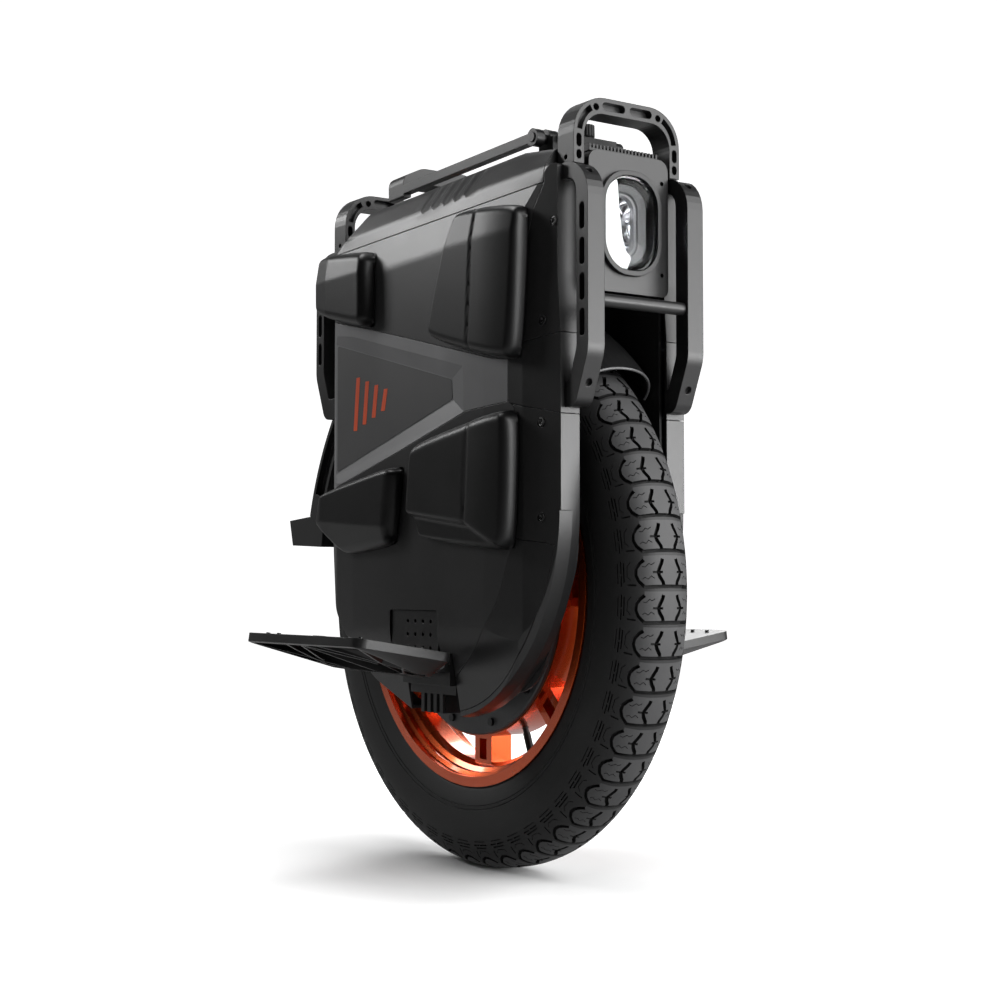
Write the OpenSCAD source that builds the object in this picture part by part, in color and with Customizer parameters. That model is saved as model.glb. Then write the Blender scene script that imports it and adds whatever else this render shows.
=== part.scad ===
// Electric unicycle with a suspended body, folding pedals and a folding trolley handle.
// Millimetres, +X forward, +Y left, +Z up, origin on the ground below the axle.

/* [Wheel] */
// Outside diameter of the tyre
tyre_d = 590; // [570:1:600]
// Width of the tyre
tyre_w = 82; // [76:1:84]
// Depth of the flat that the tyre stands on
patch_depth = 0.5; // [0.3:0.1:1]
// Blocks round the tread
tread_pitches = 54; // [48:2:60]
// Width of the grooves in the tread
groove_w = 3; // [2.5:0.5:4]
// Depth of the grooves in the tread
groove_depth = 4; // [3:0.5:5]
// Radius of the bead seat on the rim
bead_r = 202.8; // [200:0.1:205]
// Height of the rim flange over the bead seat
flange_h = 5.7; // [4:0.1:7]
// Width of the rim across its flanges
rim_w = 70; // [64:1:74]
// Number of twin spokes
spoke_count = 8; // [6:1:9]
// Width of one bar of a twin spoke
spoke_bar = 9; // [6:0.5:12]
// Gap between the two bars of a spoke
spoke_gap = 13; // [8:0.5:16]

/* [Motor] */
// Radius of the motor housing
motor_r = 150; // [140:1:155]
// Width of the motor between its covers
motor_w = 44; // [40:1:48]
// Thickness of a motor cover
cover_t = 5; // [4:0.5:6]
// Bolts on each motor cover
cover_bolt_count = 12; // [8:1:16]
// Radius of the axle
axle_r = 12; // [10:0.5:13]
// Running clearance of a shaft in its bore
run_gap = 0.05; // [0.02:0.01:0.1]

/* [Suspension] */
// Travel of the wheel in the body
travel = 80; // [60:1:85]
// Radius of a guide rod
rod_r = 7; // [6:0.5:8]
// Distance of a guide rod from the middle of its block
rod_x = 30; // [28:1:34]
// Radial gap between the tyre and the inner fender
fender_gap = 18.5; // [14:0.5:20]
// Thickness of the inner fender
fender_t = 2.5; // [2:0.1:3]

/* [Body] */
// Half the width of the body at its sides
body_half = 88; // [86:0.5:90]
// Half the width of the body at its nose
nose_half = 78; // [76:0.5:80]
// Thickness of the shells
wall = 3; // [2:0.1:3.5]
// Gap at the seams between two shells
seam = 0.6; // [0.4:0.1:1]
// Distance of a frame plate's inner face from the middle
plate_y = 51.5; // [51:0.1:52]
// Thickness of a frame plate
plate_t = 3; // [2.5:0.1:3.5]
// Upward slope of the top, in degrees
top_slope = 1.7; // [1:0.1:2]

/* [Pads] */
// Height of a leg pad over the side of the body
pad_h = 20; // [14:1:24]

/* [Bars] */
// Depth of the front and rear hoops
hoop_depth = 26; // [20:1:28]
// Half the width of the front hoop
hoop_half = 66.5; // [64:0.5:68]
// Width of a side bumper
bumper_w = 20; // [16:0.5:21]
// Radius of the crossbar between the front bumpers
crossbar_r = 6.5; // [5:0.5:8]

/* [Pedals] */
// Length of a pedal along its outer edge
pedal_len = 239; // [220:1:250]
// Distance of a pedal's outer edge from its hinge
pedal_reach = 144; // [130:1:146]
// Thickness of a pedal's rim
pedal_t = 9; // [8:0.5:11]
// Upward tilt of an open pedal, in degrees
pedal_tilt = 9; // [6:0.5:11]
// Radius of a pedal's hinge pin
pin_r = 5; // [4:0.5:5.5]

/* [Top] */
// Length of the trolley handle's arms
handle_len = 262; // [240:1:270]
// Radius of the trolley hinge's pin
hinge_r = 5; // [4:0.5:6]

/* [Hidden] */

tyre_r = tyre_d / 2;
axle_z = tyre_r - patch_depth;
// The body's outlines below are drawn for an axle at this height, and are lifted with it
drawn_axle_z = 294.5;
lift = axle_z - drawn_axle_z;
big = 500;
black = "#1c1d1f";
satin = "#2a2b2d";
shell_grey = "#38393b";
trim_grey = "#5c5d5f";
orange = "#c8431a";
steel = "#9a9c9e";

// Corner list to outline: each corner is [x, y, radius], rounded with n segments
function unit(v) = v / norm(v);
function corner(p, a, b, r, n) =
    let (u = unit(a - p), v = unit(b - p), half = acos(u * v) / 2, c = p + unit(u + v) * r / sin(half),
         s = p + u * r / tan(half) - c, e = p + v * r / tan(half) - c,
         a0 = atan2(s[1], s[0]), d0 = atan2(e[1], e[0]) - a0,
         d = d0 > 180 ? d0 - 360 : d0 < -180 ? d0 + 360 : d0)
    [for (i = [0:n]) c + r * [cos(a0 + d * i / n), sin(a0 + d * i / n)]];
function flat2(p) = [p[0], p[1]];
function rounded(c, n = 5) = [for (i = [0:len(c) - 1])
    let (p = c[i], a = flat2(c[(i + len(c) - 1) % len(c)]), b = flat2(c[(i + 1) % len(c)]), r = p[2])
    each (r > 0 ? corner(flat2(p), a, b, r, n) : [flat2(p)])];

// Twice the signed area of an outline
function area2(p) = [for (i = [0:len(p) - 1]) let (q = p[(i + 1) % len(p)])
    p[i][0] * q[1] - q[0] * p[i][1]] * [for (i = [0:len(p) - 1]) 1];
// Outline moved inwards by d
function inset(p, d) = let (s = sign(area2(p))) [for (i = [0:len(p) - 1])
    let (a = p[(i + len(p) - 1) % len(p)], b = p[(i + 1) % len(p)],
         u = unit(p[i] - a), v = unit(b - p[i]),
         m = [-u[1] - v[1], u[0] + v[0]] * s, k = d / (1 + u * v))
    p[i] + m * k];
// Corner list moved inwards by d, with its radii to match
function moved(c, d) = let (q = [for (p = c) flat2(p)], s = sign(area2(q)), t = inset(q, d))
    [for (i = [0:len(c) - 1])
        let (u = q[i] - q[(i + len(c) - 1) % len(c)], v = q[(i + 1) % len(c)] - q[i],
             r = c[i][2] == 0 ? 0 : c[i][2] - d * s * sign(u[0] * v[1] - u[1] * v[0]))
        [t[i][0], t[i][1], r < 0.6 ? 0 : r]];

// Prism with its outline in the XZ plane, from y0 to y1
module slab_xz(points, y0, y1) {
    translate([0, y1, 0]) rotate([90, 0, 0]) linear_extrude(height = y1 - y0) polygon(points);
}
// Prism with its outline in the YZ plane, from x0 to x1
module slab_yz(points, x0, x1) {
    translate([x0, 0, 0]) rotate([90, 0, 90]) linear_extrude(height = x1 - x0) polygon(points);
}
// Cylinder along Y with its middle at [x, z], from y0 to y1
module rod_y(x, z, r, y0, y1) {
    translate([x, y1, z]) rotate([90, 0, 0]) cylinder(r = r, h = y1 - y0, $fn = 64);
}
// Cylinder along X with its middle at [y, z], from x0 to x1
module rod_x(y, z, r, x0, x1) {
    translate([x0, y, z]) rotate([0, 90, 0]) cylinder(r = r, h = x1 - x0, $fn = 64);
}
module both_sides() {
    children();
    mirror([0, 1, 0]) children();
}
module left_of() {
    mirror([0, 1, 0]) children();
}
module raised() {
    translate([0, 0, lift]) children();
}
module at_axle() {
    translate([0, 0, axle_z]) rotate([90, 0, 0]) children();
}

// Wheel

section_h = 46;
crown_power = 2.4;
function crown(t, r, h, w, n) = [r - h + h * pow(abs(sin(t)), 2 / n),
    w / 2 * sign(cos(t)) * pow(abs(cos(t)), 2 / n)];
tyre_wall = 9;
bead_half = rim_w / 2 - 3.5;
module tyre_section() {
    inner_r = tyre_r - 16;
    polygon(concat([for (t = [0:12:180]) crown(t, tyre_r, section_h, tyre_w, crown_power)],
        [[bead_r + 20, 3 - tyre_w / 2], [bead_r + flange_h + 0.5, -bead_half - 2],
         [bead_r + flange_h + 0.5, -bead_half], [bead_r, -bead_half], [bead_r, 12 - bead_half],
         [bead_r + 14, 14 - bead_half], [bead_r + 24, tyre_wall - tyre_w / 2],
         [tyre_r - 42, tyre_wall - tyre_w / 2], [inner_r - 6, -22], [inner_r, 0],
         [inner_r - 6, 22], [tyre_r - 42, tyre_w / 2 - tyre_wall], [bead_r + 24, tyre_w / 2 - tyre_wall],
         [bead_r + 14, bead_half - 14], [bead_r, bead_half - 12], [bead_r, bead_half],
         [bead_r + flange_h + 0.5, bead_half], [bead_r + flange_h + 0.5, bead_half + 2],
         [bead_r + 20, tyre_w / 2 - 3]]));
}

// Outline of a curved groove, bowed outwards round [x, y], kept where it lies beyond y = from
module bow(x, y, r, from) {
    intersection() {
        translate([x, y]) difference() {
            circle(r = r, $fn = 48);
            circle(r = r - groove_w, $fn = 48);
        }
        translate([x - 2 * r, from]) square([4 * r, 4 * r]);
    }
}

// Cutter that enters the crown at [y, r], leaning outwards by angle a
module into_crown(y, r, a) {
    translate([r, 0, y]) rotate([0, 90 - a, 0]) rotate([0, 0, 90])
        translate([0, 0, -groove_depth]) linear_extrude(height = 2 * groove_depth + 2) children();
}

// Grooves of one pitch: a cross groove, two bowed grooves by the middle block and two by the shoulders
module tread_grooves() {
    pitch = 2 * PI * tyre_r / tread_pitches;
    into_crown(0, tyre_r - 0.5, 0) {
        square([groove_w, 32], center = true);
        for (s = [0, 1]) mirror([0, s]) bow(pitch / 2, -4, 17.5, 7);
    }
    for (s = [0, 1]) mirror([0, 0, s]) {
        into_crown(20, tyre_r - 3.6, 24) translate([-groove_w / 2, -7]) square([groove_w, 14.5]);
        into_crown(28.5, tyre_r - 9.4, 42) bow(pitch / 2 - 2, -10, 16, -4.5);
    }
}

module tyre() {
    color(black) difference() {
        at_axle() difference() {
            rotate_extrude($fn = 144) tyre_section();
            for (i = [0:tread_pitches - 1]) rotate([0, 0, i * 360 / tread_pitches]) tread_grooves();
        }
        translate([-big, -big, -big]) cube([2 * big, 2 * big, big]);
    }
}

rim_edge_r = bead_r + flange_h;
barrel_r = bead_r - 5;
well_r = 184;
spoke_w = 2 * spoke_bar + spoke_gap;
spoke_half = 13;
cover_lap = 4;
hub_half = motor_w / 2;

module rim_section() {
    h = rim_w / 2;
    polygon([[rim_edge_r, -h], [rim_edge_r, 2.5 - h], [bead_r, 3.5 - h], [bead_r, 16 - h],
        [bead_r - 10, 22 - h], [bead_r - 10, h - 22], [bead_r, h - 16], [bead_r, h - 3.5],
        [rim_edge_r, h - 2.5], [rim_edge_r, h], [barrel_r, h], [barrel_r, h - 7], [barrel_r - 4, h - 9],
        [barrel_r - 4, h - 15], [barrel_r - 9, h - 18], [well_r, 10], [well_r, -10],
        [barrel_r - 9, 18 - h], [barrel_r - 4, 15 - h], [barrel_r - 4, 9 - h], [barrel_r, 7 - h],
        [barrel_r, -h]]);
}

module spoke() {
    length = well_r - motor_r;
    difference() {
        translate([motor_r + 2, -spoke_w / 2, -spoke_half]) cube([length, spoke_w, 2 * spoke_half]);
        for (s = [-1, 1]) translate([motor_r + 9, -spoke_gap / 2, s > 0 ? 3 : -spoke_half - 1])
            cube([length - 12, spoke_gap, spoke_half - 2]);
    }
}

valve_angle = -90 + 180 / spoke_count;

module wheel_rim() {
    color(orange) at_axle() difference() {
        union() {
            rotate_extrude($fn = 180) rim_section();
            difference() {
                cylinder(r = motor_r + 6, h = 2 * hub_half, center = true, $fn = 180);
                cylinder(r = motor_r, h = 3 * hub_half, center = true, $fn = 180);
            }
            for (i = [0:spoke_count - 1]) rotate([0, 0, -90 + i * 360 / spoke_count]) spoke();
        }
        rotate([0, 0, valve_angle]) rotate([0, 90, 0]) cylinder(r = 4, h = big, $fn = 32);
    }
}

module tyre_valve() {
    color(black) at_axle() rotate([0, 0, valve_angle]) rotate([0, 90, 0]) {
        translate([0, 0, well_r - 22]) cylinder(r = 4, h = 36, $fn = 32);
        translate([0, 0, well_r - 34]) cylinder(r = 3, h = 12, $fn = 32);
    }
}

bearing_r = 26;
bearing_w = 12;
cover_bolt_r = motor_r - 7;

module motor_covers() {
    color(trim_grey) both_sides() at_axle() difference() {
        translate([0, 0, hub_half]) rotate_extrude($fn = 180)
            polygon([[bearing_r, -bearing_w], [bearing_r + 10, -bearing_w], [bearing_r + 14, 0],
                [motor_r + cover_lap, 0], [motor_r + cover_lap, cover_t - 1.5],
                [motor_r + cover_lap - 1.5, cover_t], [motor_r - 16, cover_t], [motor_r - 22, cover_t + 4],
                [bearing_r + 18, cover_t + 7], [axle_r + 8, cover_t + 7], [axle_r + 8, 1], [bearing_r, 1]]);
        for (i = [0:cover_bolt_count - 1]) rotate([0, 0, (i + 0.5) * 360 / cover_bolt_count])
            translate([cover_bolt_r, 0, 0]) cylinder(r = 2.6, h = 2 * motor_w, $fn = 24);
    }
}

module cover_bolts() {
    color(steel) both_sides() at_axle()
        for (i = [0:cover_bolt_count - 1]) rotate([0, 0, (i + 0.5) * 360 / cover_bolt_count])
            translate([cover_bolt_r, 0, hub_half]) {
                cylinder(r = 2.5, h = cover_t + 1, $fn = 24);
                translate([0, 0, cover_t]) cylinder(r = 4.2, h = 3, $fn = 24);
            }
}

module hub_bearings() {
    color(steel) both_sides() at_axle() translate([0, 0, hub_half - bearing_w + 1]) difference() {
        cylinder(r = bearing_r, h = bearing_w, $fn = 96);
        translate([0, 0, -1]) cylinder(r = axle_r + run_gap, h = bearing_w + 2, $fn = 96);
    }
}

rotor_w = motor_w - 4;
air_gap = 1;
rotor_t = 12;

module motor_rotor() {
    color(steel) at_axle() difference() {
        cylinder(r = motor_r, h = rotor_w, center = true, $fn = 180);
        cylinder(r = motor_r - rotor_t, h = 2 * rotor_w, center = true, $fn = 180);
    }
}

// Unsprung carrier

fender_r = tyre_r + fender_gap + fender_t;
fender_half = 48.5;
fender_h = 38;
fender_power = 2.2;
leg_y = 46;
front_angle = 44;
rear_angle = 128;
tongue_angle = 12;
collar_r = axle_r + 5;
block_y0 = plate_y + plate_t + 1;
block_y1 = 77;
rod_y_pos = (block_y0 + block_y1) / 2;
block_half = 24;
block_x = rod_x + 14;
bush_r = rod_r + 2.5;
axle_end = block_y1 + 3;

module axle() {
    color(steel) {
        rod_y(0, axle_z, axle_r, -axle_end, axle_end);
        both_sides() {
            rod_y(0, axle_z, collar_r, hub_half + 2.5, leg_y);
            rod_y(0, axle_z, collar_r, fender_half, block_y0);
        }
    }
}

module motor_stator() {
    half = rotor_w / 2 - 1;
    color(steel) at_axle() rotate_extrude($fn = 180)
        polygon([[axle_r, -8], [axle_r + 16, -8], [axle_r + 20, -5], [motor_r - rotor_t - 34, -5],
            [motor_r - rotor_t - 30, -half], [motor_r - rotor_t - air_gap, -half],
            [motor_r - rotor_t - air_gap, half], [motor_r - rotor_t - 30, half],
            [motor_r - rotor_t - 34, 5], [axle_r + 20, 5], [axle_r + 16, 8], [axle_r, 8]]);
}

module axle_blocks() {
    color(steel) both_sides() difference() {
        translate([-block_x, -block_y1, axle_z - block_half])
            cube([2 * block_x, block_y1 - block_y0, 2 * block_half]);
        rod_y(0, axle_z, axle_r, -big, 0);
        for (s = [-1, 1]) translate([s * rod_x, -rod_y_pos, 0]) cylinder(r = bush_r, h = big, $fn = 48);
    }
}

module guide_bushes() {
    color("#8a7a50") both_sides() for (s = [-1, 1])
        translate([s * rod_x, -rod_y_pos, axle_z - block_half]) difference() {
            cylinder(r = bush_r, h = 2 * block_half, $fn = 48);
            translate([0, 0, -1]) cylinder(r = rod_r + run_gap, h = 2 * block_half + 2, $fn = 48);
        }
}

shock_rod_r = 5;
shock_z0 = axle_z + block_half + travel + 6;
shock_len = travel + 110;
shock_r = 11.2;

module shock_rods() {
    color(steel) both_sides() translate([0, -rod_y_pos, axle_z + block_half])
        cylinder(r = shock_rod_r, h = travel + 40, $fn = 48);
}

module fender_arc(r, h, half) {
    at_axle() rotate_extrude($fn = 180)
        polygon([for (t = [0:10:180]) crown(t, r, h, 2 * half, fender_power)]);
}

module sector(a0, a1) {
    at_axle() linear_extrude(height = 4 * fender_half, center = true)
        polygon(concat([[0, 0]], [for (i = [0:4]) let (a = a0 + (a1 - a0) * i / 4)
            big * [cos(a), sin(a)]]));
}

module inner_fender() {
    color(black) difference() {
        union() {
            intersection() {
                difference() {
                    fender_arc(fender_r, fender_h, fender_half);
                    fender_arc(fender_r - fender_t, fender_h - fender_t + 4, fender_half - fender_t);
                }
                sector(front_angle, rear_angle);
            }
            both_sides() {
                translate([-22, -fender_half, axle_z])
                    cube([44, fender_half - leg_y, fender_r - fender_h + 6]);
                rod_y(0, axle_z, 30, -fender_half, -leg_y);
            }
        }
        rod_y(0, axle_z, axle_r, -big, big);
    }
}

mudguard_half = 42;
mudguard_r = fender_r + 31;
mudguard_t = 5;
mudguard_start = 138;
mudguard_end = 165;

module mudguard() {
    r = fender_r + 0.2;
    color(black) {
        difference() {
            union() {
                intersection() {
                    at_axle() difference() {
                        cylinder(r = r + mudguard_t, h = 2 * mudguard_half, center = true, $fn = 180);
                        cylinder(r = r, h = 3 * mudguard_half, center = true, $fn = 180);
                    }
                    sector(rear_angle - tongue_angle, mudguard_end);
                }
                intersection() {
                    at_axle() difference() {
                        cylinder(r = mudguard_r, h = 2 * mudguard_half, center = true, $fn = 180);
                        cylinder(r = r, h = 3 * mudguard_half, center = true, $fn = 180);
                    }
                    sector(mudguard_start, mudguard_end);
                }
                raised() slab_xz([[-300, 386], [-387, 380], [-379, 349], [-306, 346]], -mudguard_half,
                    mudguard_half);
            }
            both_sides() intersection() {
                at_axle() translate([0, 0, mudguard_half - 8]) difference() {
                    cylinder(r = mudguard_r - mudguard_t, h = 20, $fn = 180);
                    cylinder(r = r + mudguard_t, h = 20, $fn = 180);
                }
                sector(mudguard_start + 1, mudguard_end - 5);
            }
        }
    }
}

// Body outlines, for an axle at drawn_axle_z

front_x = 226;
brow_x = 222;
notch_z = 708;
top_z = 720.5;
belly_z = 176;

body_side = [[205, 740, 0], [205, notch_z, 0], [brow_x, notch_z, 3], [brow_x, 600, 60],
    [front_x, 545, 60], [front_x, 285, 150], [160, 180, 90], [70, belly_z - 20, 90], [-30,
        belly_z - 16, 90],
    [-118, 198, 80], [-190, 268, 80], [-216, 345, 80], [-210, 440, 100], [-210, 596, 80], [-205, 678, 6],
    [-188, 692, 4],
    [-149, 717, 20], [-130, 740, 0]];
// The lower front is turned about this point, with the skirt's seam as a circle of its own
chin_x = 15;
chin_z = 372;
chin_r = front_x - chin_x;
skirt_r = 204;

plan_half = [[-222, 0, 0], [-222, 60, 0], [-216, nose_half - 2, 6], [-190, body_half - 1, 20],
    [-150, body_half, 40], [110, body_half, 60], [175, body_half - 2, 30], [232, nose_half - 1.5, 4],
    [232, 0, 0]];
// Both halves of a symmetric outline: half is drawn for positive values of coordinate k
function whole(half, k) = concat(half, [for (i = [len(half) - 2:-1:1])
    let (p = half[i]) [k == 0 ? -p[0] : p[0], k == 1 ? -p[1] : p[1], p[2]]]);
body_plan = whole(plan_half, 1);

lean_z = 650;
shoulder_z = 702;
shoulder_half = body_half - 8;
front_half = [[0, belly_z - 40, 0], [body_half - 20, belly_z - 40, 0], [body_half, 250, 100],
    [body_half, lean_z, 60], [shoulder_half, shoulder_z, 12], [66, top_z, 12], [0, top_z, 0]];
body_front = whole(front_half, 0);

// The whole body's outer form, moved inwards by d
module body_form(d) {
    raised() intersection() {
        slab_xz(rounded(moved(body_side, d)), -200, 200);
        translate([0, 0, 100]) linear_extrude(height = 700) polygon(rounded(moved(body_plan, d)));
        rotate([0, -top_slope, 0]) slab_yz(rounded(moved(body_front, d)), -400, 400);
        union() {
            chin(d);
            translate([-400, -200, chin_z]) cube([800, 400, 400]);
            translate([-400, -200, 0]) cube([400 + chin_x, 400, 800]);
        }
    }
}
// Solid of revolution that rounds the body below and in front of the chin's middle, inwards by d
module chin(d) {
    y0 = nose_half - 14;
    translate([chin_x, 0, chin_z]) rotate([90, 0, 0]) rotate_extrude($fn = 180)
        polygon([[0, -120], [skirt_r - 90 - d, -120], [skirt_r - d, 4 - body_half], [chin_r - 2 - d,
            -nose_half],
            [chin_r - d, -y0], [chin_r - d, y0], [chin_r - 2 - d, nose_half], [skirt_r - d, body_half - 4],
            [skirt_r - 90 - d, 120], [0, 120]]);
}
module body_shell(t = wall) {
    difference() {
        body_form(0);
        body_form(t);
    }
}

// Things on the sloping top are drawn with z = 0 on its surface
module on_top() {
    raised() translate([0, 0, top_z / cos(top_slope)]) rotate([0, -top_slope, 0]) children();
}

side_y = plate_y + plate_t + 0.3;

// Part of the body's side, right-hand side, inside an outline
module side_piece(points, t = wall) {
    intersection() {
        body_shell(t);
        raised() slab_xz(inset(points, seam / 2), -200, -side_y);
    }
}

cover_edge = [[204, 691.2, 0], [190, 668, 20], [151, 524, 10], [151, 482, 8], [162, 476, 6],
    [158, 344, 40], [135, 286, 80], [90, 234, 80], [40, 200, 40], [-40, 120, 0]];
cover_region = rounded(concat([[-240, 680.5, 0]], cover_edge, [[-240, 140, 0]]), 5);
frame_region = rounded(concat([[260, 760, 0], [204, 760, 0]], cover_edge, [[40, 100, 0], [260, 100,
    0]]), 5);
// Seams that part the front frame into an upper, a middle, a lower and a skirt piece
frame_seams = [[[140, 534.9], [260, 547.1]],
    [[140, 482.7], [163, 478], [232, 464], [260, 463]],
    [[140, 346.6], [160, 346], [206, 341], [218, 338]]];
skirt_top = 338.5;
function strip(p, w) = concat([for (q = p) [q[0], q[1] + w / 2]],
    [for (i = [len(p) - 1:-1:0]) [p[i][0], p[i][1] - w / 2]]);
trim_region = [[-230, 610], [-106, 583], [122, 528], [151, 524], [151, 482], [77, 478], [-56, 444],
    [-230, 402]];
label_inner = [[-230, 586], [48, 515], [50, 492], [-230, 418]];
label_outer = [[-230, 600], [72, 525], [74, 478], [-230, 400]];
label_depth = 3.5;
trim_t = 6;
tray_t = trim_t + 0.2 + 2.2;

pedal_hole = rounded([[-70, 226, 3], [-70, 274, 3], [24.5, 274, 3], [24.5, 226, 3]], 3);
screw_r = 2.5;
head_r = 4.6;
head_floor = 1.4;
screw_spots = [[217, 652], [202, 557], [200, 458], [200, 366]];
foot_half = 47;
foot_top = 230;

// Opening in the lower body for the guide foot and the pedal bracket
module foot_opening() {
    raised() translate([-foot_half, -200, 0]) cube([2 * foot_half, 400, foot_top]);
}

// Stepped screw holes through the side; s is -1 on the right and 1 on the left
module side_holes(spots, s) {
    raised() for (p = spots) {
        sink = side_half(p[0], p[1]) - wall + head_floor;
        translate([p[0], 0, p[1]]) rotate([s < 0 ? 90 : -90, 40, 0]) {
            translate([0, 0, 60]) cylinder(r = screw_r + 0.5, h = 40, $fn = 64);
            translate([0, 0, sink]) cylinder(r = head_r + 0.4, h = 40, $fn = 64);
        }
    }
}

// Half the body's width at a point of its side
function lean_half(z) = z < lean_z ? body_half
    : body_half - (z - lean_z) * (body_half - shoulder_half) / (shoulder_z - lean_z);
function side_half(x, z) = min(lean_half(z * cos(top_slope) - x * sin(top_slope)),
    x < -190 ? body_half - 1 - (-190 - x) * 0.42 : x < 110 ? body_half
        : x < 175 ? body_half - (x - 110) * 2 / 65 : body_half - 2 - (x - 175) * (body_half - nose_half - 0.5) / 57);

module side_cover_right() {
    color(shell_grey) difference() {
        union() {
            side_piece(cover_region);
            intersection() {
                body_shell(tray_t);
                raised() slab_xz(inset(trim_region, -wall), -200, -side_y);
                raised() slab_xz(inset(cover_region, seam / 2), -200, -side_y);
            }
        }
        intersection() {
            difference() {
                body_form(-1);
                body_form(trim_t + 0.2);
            }
            raised() slab_xz(inset(trim_region, -seam / 2), -200, 0);
        }
        raised() slab_xz(pedal_hole, -200, 0);
        foot_opening();
    }
}
module side_cover_left() {
    left_of() side_cover_right();
}

module trim_panel_right() {
    color(trim_grey) difference() {
        intersection() {
            body_shell(trim_t);
            raised() slab_xz(inset(trim_region, seam / 2), -200, -side_y);
        }
        raised() hull() {
            slab_xz(label_inner, -body_half - 1, label_depth - body_half);
            slab_xz(label_outer, -body_half - 1, 0.1 - body_half);
        }
    }
}
module trim_panel_left() {
    left_of() trim_panel_right();
}

// Frame of one side: s is -1 on the right and 1 on the left
module front_frame(s) {
    color(satin) difference() {
        intersection() {
            body_shell();
            raised() slab_xz(inset(frame_region, seam / 2), s < 0 ? -200 : side_y, s < 0 ? -side_y : 200);
        }
        raised() for (line = frame_seams) slab_xz(strip(line, seam), -200, 200);
        raised() intersection() {
            translate([chin_x, 0, chin_z]) rotate([90, 0, 0]) difference() {
                cylinder(r = skirt_r + seam, h = 400, center = true, $fn = 180);
                cylinder(r = skirt_r, h = 500, center = true, $fn = 180);
            }
            translate([chin_x, -200, 0]) cube([300, 400, skirt_top]);
        }
        side_holes(screw_spots, s);
        foot_opening();
    }
}
module front_frame_right() {
    front_frame(-1);
}
module front_frame_left() {
    front_frame(1);
}

panel_half = 50;
flute_count = 5;
flute_x = -12;
flute_pitch = 21;
flute_r = 14;
flute_depth = 1.8;
shoulder_angle = atan2(top_z - shoulder_z, shoulder_half - 66);

module top_cover() {
    color(shell_grey) difference() {
        intersection() {
            body_shell();
            raised() slab_xz([[-240, 680.5 + seam], [204 - seam, 691.2 + seam], [204 - seam, 760],
                [-240, 760]],
                -200, 200);
        }
        on_top() translate([30, -36, -4]) cube([90, 72, 10]);
        on_top() translate([-60, 0, -10]) cylinder(r = 9 + run_gap, h = 20, $fn = 48);
        on_top() both_sides() for (i = [0:flute_count - 1])
            translate([flute_x + i * flute_pitch, (shoulder_half + 66) / -2, (shoulder_z - top_z) / 2])
                rotate([shoulder_angle, 0, 0]) rotate([0, 0, -32]) translate([0, 0, flute_r - flute_depth])
                    rotate([90, 0, 0]) cylinder(r = flute_r, h = 30, center = true, $fn = 48);
    }
}

light_z = 655;
light_half_w = 38;
light_half_h = 52;
panel_front = 235;
panel_z0 = 586;

function light_outline(d, n = 8) = rounded([[light_half_w - d, light_z + light_half_h - d, 34 - d],
    [d - light_half_w, light_z + light_half_h - d, 34 - d], [d - light_half_w,
        light_z - light_half_h + d, 34 - d],
    [light_half_w - d, light_z - light_half_h + d, 34 - d]], n);

module front_panel() {
    outline = rounded([[panel_half, 724, 12], [-panel_half, 724, 12], [-panel_half, panel_z0, 8],
        [panel_half, panel_z0, 8]], 5);
    color(satin) raised() difference() {
        union() {
            slab_yz(outline, brow_x - 12, panel_front);
            for (s = [-1, 1]) translate([brow_x - 12, s > 0 ? panel_half - wall : -plate_y, 620])
                cube([8, plate_y - panel_half + wall, 60]);
        }
        slab_yz(inset(outline, wall), brow_x - 20, panel_front - wall);
        translate([0, -panel_half + wall, panel_z0 - 1])
            cube([panel_front - wall, 2 * (panel_half - wall), 20]);
        slab_yz(light_outline(0), brow_x, panel_front + 10);
        for (y = [-42, 42], z = [608, 700]) rod_x(y, z, 2.2, brow_x, panel_front + 5);
    }
}

module headlight_bezel() {
    color(black) raised() difference() {
        slab_yz(light_outline(0.2), panel_front - 8, panel_front + 5);
        slab_yz(light_outline(5), panel_front - 20, panel_front + 20);
    }
}
module headlight_lens() {
    color("#dfe6ea") raised() slab_yz(light_outline(5.1), panel_front - 1, panel_front + 2);
}
module headlight_reflector() {
    color(steel) raised() difference() {
        intersection() {
            slab_yz(light_outline(5.1), panel_front - 27, panel_front - 1.1);
            translate([panel_front + 10, 0, light_z]) sphere(r = 56, $fn = 96);
        }
        translate([panel_front + 8, 0, light_z]) sphere(r = 45, $fn = 96);
    }
}

module rear_panel() {
    outline = rounded([[panel_half, 676, 8], [-panel_half, 676, 8], [-panel_half, 626, 8],
        [panel_half, 626, 8]], 5);
    color(satin) raised() difference() {
        union() {
            slab_yz(outline, -214, -202);
            for (s = [-1, 1]) translate([-206, s > 0 ? panel_half - wall : -plate_y, 634])
                cube([16, plate_y - panel_half + wall, 30]);
        }
        slab_yz(inset(outline, wall), -211, -180);
        slab_yz(rounded([[36, 650, 4], [-6, 650, 4], [-6, 638, 4], [36, 638, 4]], 4), -220, -205);
        rod_x(-28, 652, 8, -220, -205);
    }
}

module tail_light() {
    color("#8c1512") raised() slab_yz(rounded([[35.8, 649.8, 4], [-5.8, 649.8, 4], [-5.8, 638.2, 4],
        [35.8, 638.2, 4]], 4), -216, -210);
}

module charge_cap() {
    color(black) raised() {
        rod_x(-28, 652, 11, -217, -214.2);
        translate([-217, -31, 660]) cube([2.8, 6, 6]);
    }
}

module vent_strip() {
    color(black) raised() difference() {
        translate([207, -43, 724.2]) cube([20, 86, 7]);
        for (i = [-9:9]) translate([206, i * 4.4 - 1.1, 727]) cube([22, 2.2, 6]);
    }
}

// Frame plates, rods, shocks and packs

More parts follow.
